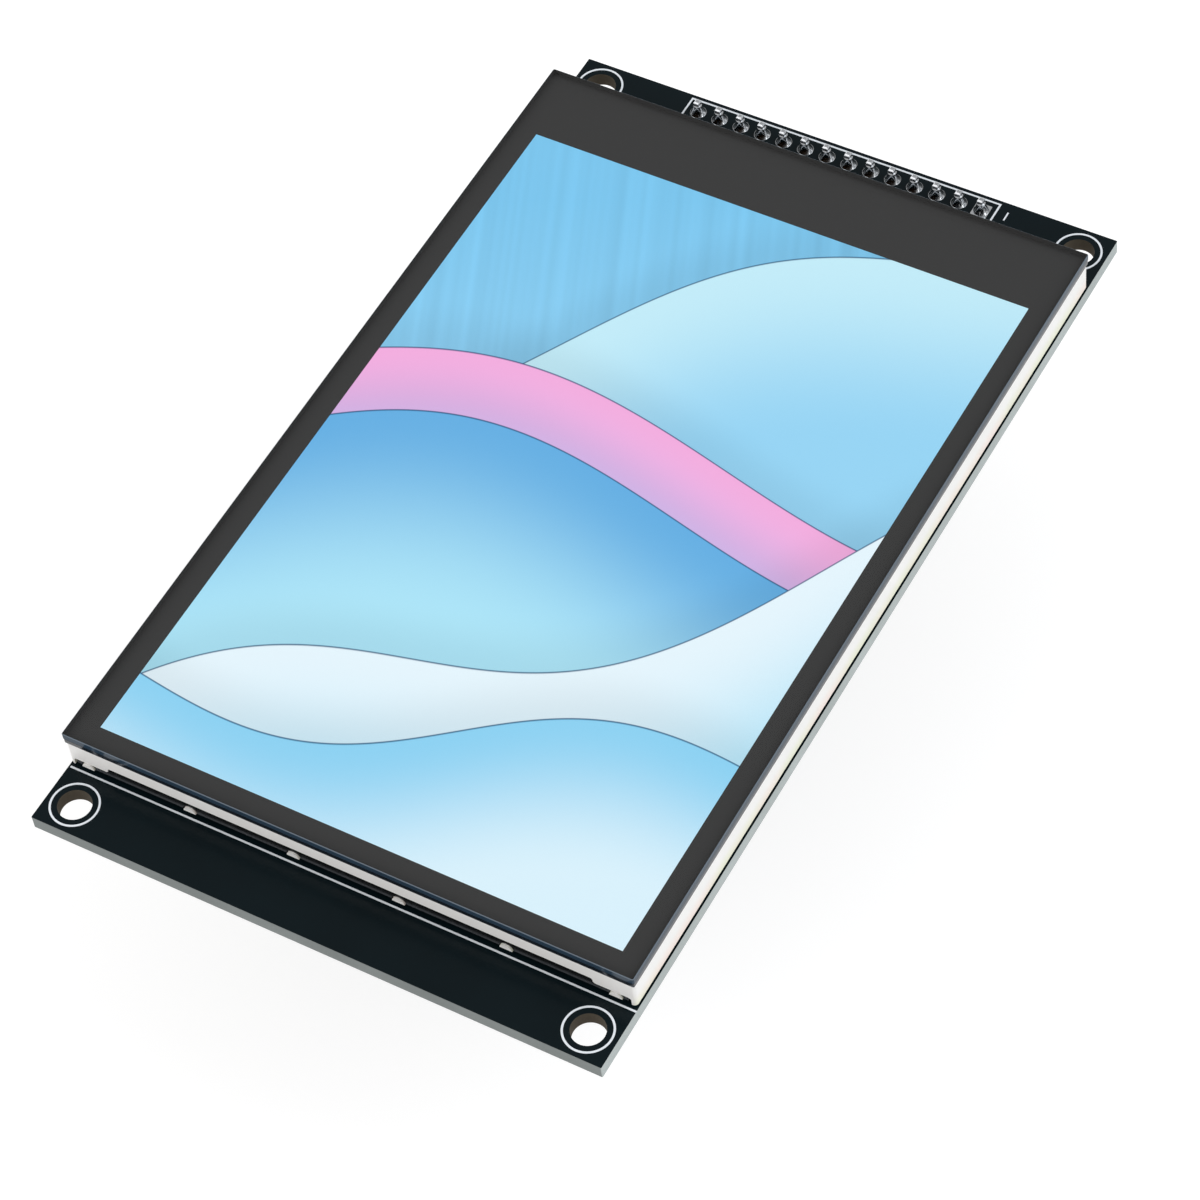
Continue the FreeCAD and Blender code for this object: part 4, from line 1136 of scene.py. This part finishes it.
FRONT_OUTLINE = Outline("header_housing", 0.3, 0.6, 0.35)
BACK_OUTLINES = (
    Outline("header_housing", 0.35, 0.35, 0.35),
    Outline("ribbon_socket_housing", 0.85, 0.85, 0.85),
    Outline("card_socket_shell", 0.5, 0.5, 0.5),
    Outline("regulator_body", 0.4, 1.0, 1.0),
    Outline("transistor_body", 0.3, 0.3, 0.3),
)
RESISTORS = LeadRow("resistor_caps", (End.LOW, End.HIGH), 9, 0.46, 1.0, 0.45, 0.45, 0.05)
CAPACITORS = LeadRow("capacitor_caps", (End.LOW, End.HIGH), 4, 0.46, 1.0, 0.45, 0.45, 0.05)
RIBBON_CONTACTS = LeadRow("ribbon_socket_contacts", (End.HIGH,), 14, 0.1, 0.28, 0.8, 0.5)
CARD_CONTACTS = LeadRow("card_socket_contacts", (End.HIGH,), 8, 0.25, 0.64, 0.75, 0.45)
# The regulator has a broad tab at its upper end, and the transistor a single leg
LEAD_ROWS = (
    RESISTORS,
    CAPACITORS,
    RIBBON_CONTACTS,
    CARD_CONTACTS,
    LeadRow("regulator_leads", (End.LOW,), 3, 0.35, 1.1, 1.0, 0.5, 0.1),
    LeadRow("regulator_leads", (End.HIGH,), 1, 0.35, 3.5, 1.0, 0.5, 0.1),
    LeadRow("transistor_leads", (End.LOW,), 2, 0.2, 0.7, 0.5, 0.3, 0.05),
    LeadRow("transistor_leads", (End.HIGH,), 1, 0.2, 0.7, 0.5, 0.3, 0.05),
)


@dataclass(frozen=True)
class SolderJoint:
    """One cone of solder round a pin, with the hollow sides of a well-wetted joint.

    Attributes:
        radius: radius of its foot.
        foot: height of its upright rim.
        neck: radius where it meets the pin.
        height: height of the neck over the board.
        cap: height of the last dip onto the pin.
        cap_share: width of its end beside the neck's.
        hollow: power of the curve that its sides follow, where 1 would be straight.
        steps: rings of faces between foot and neck.
        sides: faces round it.
        smooth_degrees: tilt between faces up to which they are shaded as one.
    """

    radius: float
    foot: float = 0.05
    neck: float = 0.46
    height: float = 1.15
    cap: float = 0.08
    cap_share: float = 0.55
    hollow: float = 2.0
    steps: int = 10
    sides: int = 32
    smooth_degrees: float = 50.0

    def build(self, level: float) -> bpy.types.Object:
        """Models the joint at the origin.

        Args:
            level: height of the board's face in millimetres.

        Returns:
            The joint.
        """
        begin()
        middle = (level + self.foot / 2) * MM
        bpy.ops.mesh.primitive_cylinder_add(vertices=self.sides, radius=self.radius * MM,
                                            depth=self.foot * MM, location=(0, 0, middle))
        joint = bpy.context.active_object
        settle(joint)
        bpy.ops.object.mode_set(mode="EDIT")
        pick_faces(joint, lambda face: face.normal.z > LEVEL_FACE)
        rise = (self.height - self.foot) / self.steps
        last = self.radius
        for step in range(1, self.steps + 1):
            wanted = self.neck + (self.radius - self.neck) * (1 - step / self.steps) ** self.hollow
            self.grow(rise, wanted / last)
            last = wanted
        self.grow(self.cap, self.cap_share)
        bpy.ops.object.mode_set(mode="OBJECT")
        bpy.ops.object.shade_smooth_by_angle(angle=math.radians(self.smooth_degrees))
        return joint

    def grow(self, rise: float, share: float) -> None:
        """Extrudes the picked face upwards by a rise and narrows it to a share of its width."""
        bpy.ops.mesh.extrude_region_move(TRANSFORM_OT_translate={"value": (0, 0, rise * MM)})
        bpy.ops.transform.resize(value=(share, share, 1))


@dataclass
class CircuitBoard:
    """The board's printed, etched, tinned and soldered details.

    Attributes:
        looks: each finish with its material.
        pins: how many pins the header has.
        pin_side: width of a square pin.
        hole_edge: distance of a mounting hole's middle from both edges.
        ring_outer: outer diameter of the white ring round a mounting hole.
        ring_inner: its inner diameter.
        ink_width: width of a white line.
        ink_thickness: thickness of the ink.
        line_from_glass: how far the white line lies in front of the glass's edge.
        line_from_edge: how far it stays inside the board's left edge.
        bracket_gap: gap between a chip's side and the outer edge of the line beside it.
        bracket_past: how far that line reaches past the chip's ends.
        number_height: height of the numbers of the header's pins on the back.
        small_height: height of the other numbers.
        first_gap: distance of the first pin's number from the header's end.
        last_gap: distance of the last pin's number from its other end.
        front_rise: how far the first pin's number stands above the line of the pins on the screen side.
        ribbon_number: place of the ribbon socket's number from its corner with the most X and Y.
        pad: diameter of a pin's pad.
        pad_round: how far the corners of a square pad are rounded.
        pad_corners: how many sides the round of a pad has.
        tin_thickness: thickness of the tinned pads.
        joint_inset: how far a solder joint stays inside its pad.
        tab_length: how far a pad reaches in under a solder tab of the ribbon socket.
        tab_margin: how far it reaches out past the tab.
        copper_thickness: how far copper lifts the mask.
        trace_width: width of a signal trace.
        supply_width: width of a supply trace.
        line_cut: how far the corner of a trace is cut.
        header_start: distance of a trace's start from the middle of its pin.
        fan_gap: distance of the first level trace from the ribbon socket's pads.
        overlap: how far a trace reaches onto a chip's or the card socket's pad.
        supply_low: length of a capacitor's lower trace past its pad.
        supply_high: length of its upper trace.
        via: diameter of a via's ring.
        via_bore: diameter of its hole.
        via_corners: how many sides it has.
        via_drop: distance of a supply via from the end of its trace.
        via_pair: distance between two vias of a pair.
        via_step: distance between the vias along the board's rim.
        rim_inset: distance of those vias from the rim.
        rim_gap: distance of the last of them from a mounting hole.
        bus_step: distance from trace to trace where they run side by side.
        bus_left: place of the first of the memory card's traces where they run along the board.
        bus_top: height at which that trace would leave the board's left edge to slant over.
        bus_foot: height at which it slants again, towards the card socket.
    """

    looks: dict[Finish, bpy.types.Material]
    pins: int = 14
    pin_side: float = 0.64
    hole_edge: float = 3.0
    ring_outer: float = 5.0
    ring_inner: float = 4.58
    ink_width: float = 0.2
    ink_thickness: float = 0.03
    line_from_glass: float = 0.25
    line_from_edge: float = 0.2
    bracket_gap: float = 0.35
    bracket_past: float = 0.25
    number_height: float = 1.5
    small_height: float = 1.2
    first_gap: float = 1.4
    last_gap: float = 1.9
    front_rise: float = 0.2
    ribbon_number: Point = (1.9, -0.8)
    pad: float = 1.75
    pad_round: float = 0.08
    pad_corners: int = 32
    tin_thickness: float = 0.03
    joint_inset: float = 0.03
    tab_length: float = 1.0
    tab_margin: float = 0.3
    copper_thickness: float = 0.04
    trace_width: float = 0.28
    supply_width: float = 0.5
    line_cut: float = 0.45
    header_start: float = 1.0
    fan_gap: float = 1.1
    overlap: float = 0.05
    supply_low: float = 1.95
    supply_high: float = 1.15
    via: float = 0.62
    via_bore: float = 0.28
    via_corners: int = 16
    via_drop: float = 0.2
    via_pair: float = 0.9
    via_step: float = 8.2
    rim_inset: float = 1.3
    rim_gap: float = 4.5
    bus_step: float = 0.72
    bus_left: float = -12.0
    bus_top: float = 32.0
    bus_foot: float = -24.0

    def __post_init__(self) -> None:
        """Reads the places that everything is set out from."""
        self.low, self.high = box_mm("circuit_board")
        pins_low, pins_high = box_mm("header_pins")
        half = self.pin_side / 2
        self.pin_xs = row(self.pins, pins_low[0] + half, pins_high[0] - half)
        self.pin_y = (pins_low[1] + pins_high[1]) / 2
        self.holes = [(x, y) for x in (self.low[0] + self.hole_edge, self.high[0] - self.hole_edge)
                      for y in (self.low[1] + self.hole_edge, self.high[1] - self.hole_edge)]

    def rings(self, layer: PrintedLayer) -> None:
        """Prints a ring round every mounting hole."""
        for hole in self.holes:
            layer.ring(hole, self.ring_outer, self.ring_inner)

    def front_ink(self) -> None:
        """Prints the rings, the line along the glass's edge and the header's outline on the screen side."""
        layer = PrintedLayer(Side.SCREEN, self.high[2], self.ink_thickness)
        self.rings(layer)
        glass_low, _ = box_mm("cover_glass")
        line, half = glass_low[1] - self.line_from_glass, self.ink_width / 2
        layer.bar((self.low[0] + self.line_from_edge, line - half), (self.high[0], line + half))
        FRONT_OUTLINE.draw(layer, self.ink_width)
        _, header_end = box_mm("header_housing")
        layer.number(1, (header_end[0] + self.first_gap, self.pin_y + self.front_rise), self.small_height)
        layer.finished("front_legend", self.looks[INK])

    def header_pads(self) -> None:
        """Adds the tinned pad under each solder joint, square at the first pin."""
        layer = PrintedLayer(Side.SCREEN, self.high[2], self.tin_thickness)
        for x in self.pin_xs[:-1]:
            layer.ring((x, self.pin_y), self.pad, corners=self.pad_corners)
        first, half = self.pin_xs[-1], self.pad / 2
        layer.bar((first - half, self.pin_y - half), (first + half, self.pin_y + half), self.pad_round)
        layer.finished("header_pads", self.looks[SOLDER])

    def solder_joints(self) -> None:
        """Models one solder joint and sets it round every pin."""
        joint = SolderJoint(self.pad / 2 - self.joint_inset).build(self.high[2])
        joints = copied(joint, [(x, self.pin_y) for x in self.pin_xs])
        whole = joined(joints, "solder_joints", self.looks[SOLDER])
        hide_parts("header_solder")

    def back_ink(self) -> None:
        """Prints the rings, the parts' outlines and their numbers on the back."""
        layer = PrintedLayer(Side.BACK, self.low[2], self.ink_thickness)
        self.rings(layer)
        for outline in BACK_OUTLINES:
            outline.draw(layer, self.ink_width)
        for chips in (RESISTORS, CAPACITORS):
            (_, y0, _), (_, y1, _) = box_mm(chips.node)
            reach = chips.half + self.bracket_gap
            for middle in chips.middles():
                for x in (middle - reach, middle + reach - self.ink_width):
                    layer.bar((x, y0 - self.bracket_past), (x + self.ink_width, y1 + self.bracket_past))
        (left, _, _), (right, _, _) = box_mm("header_housing")
        layer.number(1, (right + self.first_gap, self.pin_y), self.number_height)
        layer.number(self.pins, (left - self.last_gap, self.pin_y), self.number_height)
        _, corner = box_mm("ribbon_socket_housing")
        aside, up = self.ribbon_number
        layer.number(1, (corner[0] + aside, corner[1] + up), self.small_height)
        layer.finished("back_legend", self.looks[INK])

    def back_pads(self) -> None:
        """Adds the tinned pads of the small parts and of the two sockets."""
        layer = PrintedLayer(Side.BACK, self.low[2], self.tin_thickness)
        for leads in LEAD_ROWS:
            leads.draw(layer)
        out = self.tab_margin
        (x0, y0, _), (x1, y1, _) = box_mm("ribbon_socket_tabs")
        for near, far in ((x0 - out, x0 + self.tab_length), (x1 - self.tab_length, x1 + out)):
            layer.bar((near, y0 - out), (far, y1 + out), self.pad_round)
        layer.finished("back_pads", self.looks[SOLDER])

    def copper(self) -> None:
        """Lays the copper that shows through the mask on the back: the traces and the vias."""
        layer = PrintedLayer(Side.BACK, self.low[2], self.copper_thickness)
        self.header_traces(layer)
        self.card_traces(layer)
        for place in self.rim_vias() + self.supply_traces(layer):
            layer.ring(place, self.via, self.via_bore, self.via_corners)
        layer.finished("back_copper", self.looks[TRACE])

    def header_traces(self, layer: PrintedLayer) -> None:
        """Draws a trace from each pin to its contact in the ribbon socket, the inner ones by a longer way up.

        Args:
            layer: the copper that they are part of.
        """
        cut = self.line_cut
        _, tails = RIBBON_CONTACTS.span(End.HIGH)
        for i, (pin, way) in enumerate(zip(self.pin_xs, RIBBON_CONTACTS.middles())):
            inward = cut if way > pin else -cut
            level = tails + self.fan_gap + min(i, self.pins - 1 - i) * self.bus_step
            layer.run([(pin, self.pin_y - self.header_start), (pin, level + cut), (pin + inward, level),
                       (way - inward, level), (way, level - cut), (way, tails)], self.trace_width)

    def card_traces(self, layer: PrintedLayer) -> None:
        """Draws the traces from the resistors to the card socket's contacts, side by side along the board.

        Args:
            layer: the copper that they are part of.
        """
        chip_end = RESISTORS.span(End.LOW)[0] + self.overlap
        card_end = CARD_CONTACTS.span(End.HIGH)[1] - self.overlap
        for rank, (start, end) in enumerate(zip(RESISTORS.middles(), CARD_CONTACTS.middles())):
            middle = self.bus_left + rank * self.bus_step
            bend = self.bus_top + rank * math.sqrt(2) * self.bus_step - (start - self.low[0])
            turn = self.bus_foot + rank * (math.sqrt(2) - 1) * self.bus_step
            layer.run([(start, chip_end), (start, bend), (middle, bend - (middle - start)), (middle, turn),
                       (end, turn - (end - middle)), (end, card_end)], self.trace_width)

    def supply_traces(self, layer: PrintedLayer) -> list[Point]:
        """Draws the short broad traces at the capacitors' ends.

        Args:
            layer: the copper that they are part of.

        Returns:
            The places of the vias past the lower ones' ends.
        """
        vias = []
        low, high = CAPACITORS.span(End.LOW)[0], CAPACITORS.span(End.HIGH)[1]
        foot = low - self.supply_low
        for x in CAPACITORS.middles():
            layer.run([(x, low + self.overlap), (x, foot)], self.supply_width)
            layer.run([(x, high - self.overlap), (x, high + self.supply_high)], self.supply_width)
            vias += [(x, foot - self.via_drop), (x + self.via_pair, foot - self.via_drop)]
        return vias

    def rim_vias(self) -> list[Point]:
        """Sets out the vias along the two long sides.

        Returns:
            Their places.
        """
        reach = self.high[1] - self.hole_edge - self.rim_gap
        ys = row(2 * round(reach / self.via_step) + 1, -reach, reach)
        return [(x, y) for x in (self.low[0] + self.rim_inset, self.high[0] - self.rim_inset) for y in ys]


@dataclass
class CoverPrint:
    """The dark border printed under the cover glass.

    Attributes:
        looks: each finish with its material.
        clear: how far it stays from glass and adhesive, so that no two faces coincide.
    """

    looks: dict[Finish, bpy.types.Material]
    clear: float = 0.004

    def build(self) -> None:
        """Prints the border."""
        (x0, y0, z0), (x1, y1, z1) = box_mm("border_print")
        low_x, high_x, low_y, high_y = COVER.window_mm
        layer = PrintedLayer(Side.BACK, z1 - self.clear, z1 - z0 - 2 * self.clear)
        layer.border((x0, y0), (x1, y1), (low_x, low_y), (high_x, high_y))
        border = layer.finished("printed_border", self.looks[BORDER])
        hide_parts("border_print")


# Camera, light and floor


def added(name: str, data: bpy.types.Camera | bpy.types.Light) -> bpy.types.Object:
    """Adds a camera or a lamp to the scene.

    Args:
        name: its name.
        data: its settings.

    Returns:
        Its object.
    """
    thing = bpy.data.objects.new(name, data)
    bpy.context.collection.objects.link(thing)
    return thing


def any_ray(tree: Tree, *kinds: str) -> Socket:
    """Tells some kinds of ray from all others.

    Args:
        tree: the material's or world's node tree.
        kinds: the kinds, as the light path names them.

    Returns:
        A socket that is 1 for a ray of these kinds and 0 for any other.
    """
    found: Socket | float = 0.0
    for kind in kinds:
        found = add(tree, "Math", [found, add(tree, "LightPath", out=kind)], operation="MAXIMUM")
    return found


@dataclass(frozen=True)
class Lamp:
    """A soft round lamp that is turned to the module.

    Attributes:
        name: what it does.
        place: where it hangs, in metres.
        width: its diameter in metres.
        power: its power in watts.
        colour: colour of its light.
    """

    name: str
    place: tuple[float, float, float]
    width: float
    power: float
    colour: str

    def hang(self) -> None:
        """Hangs the lamp in its place."""
        data = bpy.data.lights.new(self.name, "AREA")
        data.shape = "DISK"
        data.size = self.width
        data.energy = self.power
        data.color = linear(self.colour)[:3]
        lamp = added(self.name, data)
        lamp.location = self.place
        lamp.rotation_euler = (-Vector(self.place)).to_track_quat("-Z", "Y").to_euler()


# Two large lamps over the module, and a small low one that gives the solder its glint
LAMPS = (
    Lamp("key", (0.62, 0.30, 0.70), 0.8, 3.6, "#f7fbff"),
    Lamp("fill", (-0.45, -0.68, 0.55), 0.9, 3.3, "#fffdfb"),
    Lamp("edge", (0.95, -0.16, 0.27), 0.36, 0.7, "#ffffff"),
)


@dataclass(frozen=True)
class Studio:
    """The photograph's viewpoint in a plain white studio.

    Attributes:
        lens: focal length in millimetres.
        sensor: width of the camera's sensor in millimetres.
        reach: the least and greatest distance that the camera sees, in metres.
        target: the point on the glass that the camera looks at.
        distance: from that point to the camera.
        azimuth: direction of the camera round the module, from the plain end towards +X, in degrees.
        elevation: height of the camera over the level, in degrees.
        roll: turn of the camera about its own axis, in degrees.
        room_light: strength of the white room as a light.
        room_mirrored: its strength in mirrors.
        floor_level: height of the floor, below the header's pins.
        floor_size: width of the floor in metres.
        paper: colour of the floor as it lights the module.
        paper_seen: colour of the floor as it is seen.
        paper_glow: light of its own that is added where it is seen.
        paper_roughness: roughness of the floor.
    """

    lens: float = 127.67
    sensor: float = 36.0
    reach: Point = (0.01, 20.0)
    target: tuple[float, float, float] = (7.55, -11.56, 6.57)
    distance: float = 404.33
    azimuth: float = 35.711
    elevation: float = 52.853
    roll: float = -8.195
    room_light: float = 0.66
    room_mirrored: float = 0.5
    floor_level: float = -32.0
    floor_size: float = 6.0
    paper: str = "#f2f2f2"
    paper_seen: str = "#b4b4b4"
    paper_glow: float = 0.67
    paper_roughness: float = 0.9

    def camera(self) -> None:
        """Sets the camera where the photograph was taken from."""
        around, above = math.radians(self.azimuth), math.radians(self.elevation)
        back = Vector((math.sin(around) * math.cos(above), -math.cos(around) * math.cos(above),
                       math.sin(above)))
        level = Vector((math.cos(around), math.sin(around), 0.0))
        right = Matrix.Rotation(math.radians(-self.roll), 3, -back) @ level
        data = bpy.data.cameras.new("photograph")
        data.lens = self.lens
        data.sensor_width = self.sensor
        data.sensor_fit = "HORIZONTAL"
        data.clip_start, data.clip_end = self.reach
        camera = added("photograph", data)
        place = (Vector(self.target) + back * self.distance) * MM
        turned = Matrix((right, back.cross(right), back)).transposed().to_4x4()
        camera.matrix_world = Matrix.Translation(place) @ turned
        bpy.context.scene.camera = camera

    def sky(self) -> None:
        """Makes the room white to the eye and to glass, and softer as a light and in mirrors."""
        world = bpy.data.worlds.new("studio")
        world.use_nodes = True
        bpy.context.scene.world = world
        tree = world.node_tree
        tree.nodes.clear()
        mirrored = any_ray(tree, "Is Glossy Ray")
        light = add(tree, "Mix", [mirrored, self.room_light, self.room_mirrored], data_type="FLOAT")
        seen = any_ray(tree, "Is Camera Ray", "Is Transmission Ray")
        light = add(tree, "Mix", [seen, light, 1.0], data_type="FLOAT")
        add(tree, "OutputWorld", [add(tree, "Background", {"Color": "#ffffff", "Strength": light})])

    def floor(self) -> None:
        """Lays a white floor that keeps the shadow and isn't seen from below."""
        begin()
        bpy.ops.mesh.primitive_plane_add(size=self.floor_size, location=(0, 0, self.floor_level * MM))
        floor = bpy.context.active_object
        floor.name = "floor"
        settle(floor)
        material = bpy.data.materials.new("white paper")
        material.use_nodes = True
        tree = material.node_tree
        shader = tree.nodes["Principled BSDF"]
        shader.inputs["Roughness"].default_value = self.paper_roughness
        shader.inputs["Specular IOR Level"].default_value = 0.0
        shader.inputs["Emission Color"].default_value = linear("#ffffff")
        seen = any_ray(tree, "Is Camera Ray", "Is Glossy Ray", "Is Transmission Ray")
        paper = add(tree, "Mix", [seen, self.paper, self.paper_seen], data_type="RGBA")
        tree.links.new(paper, shader.inputs["Base Color"])
        glow = add(tree, "Math", [seen, self.paper_glow], operation="MULTIPLY")
        tree.links.new(glow, shader.inputs["Emission Strength"])
        below = add(tree, "NewGeometry", out="Backfacing")
        mix = add(tree, "MixShader", [below, shader.outputs[0], add(tree, "BsdfTransparent")])
        tree.links.new(mix, tree.nodes["Material Output"].inputs["Surface"])
        floor.data.materials.append(material)


def dress(frame: dict) -> dict[Finish, bpy.types.Material]:
    """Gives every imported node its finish.

    Args:
        frame: the loaded model.

    Returns:
        Each finish with its material.
    """
    made = {}
    for finish, nodes in NODE_FINISHES.items():
        made[finish] = finish.build()
        for name in nodes:
            data = frame["nodes"][name].data
            data.materials.clear()
            data.materials.append(made[finish])
        LOG.info("%s: %s", finish.name, ", ".join(nodes))
    for finish in (INK, TRACE):
        made[finish] = finish.build()
    return made


def main() -> None:
    """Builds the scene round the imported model."""
    logging.basicConfig(level=logging.INFO, format="%(message)s")
    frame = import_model()
    looks = dress(frame)
    board = CircuitBoard(looks)
    board.front_ink()
    board.header_pads()
    board.solder_joints()
    board.back_ink()
    board.back_pads()
    board.copper()
    CoverPrint(looks).build()
    studio = Studio()
    studio.camera()
    for lamp in LAMPS:
        lamp.hang()
    studio.sky()
    studio.floor()
    bpy.context.scene.view_settings.view_transform = "Standard"


if __name__ == "__main__":
    main()
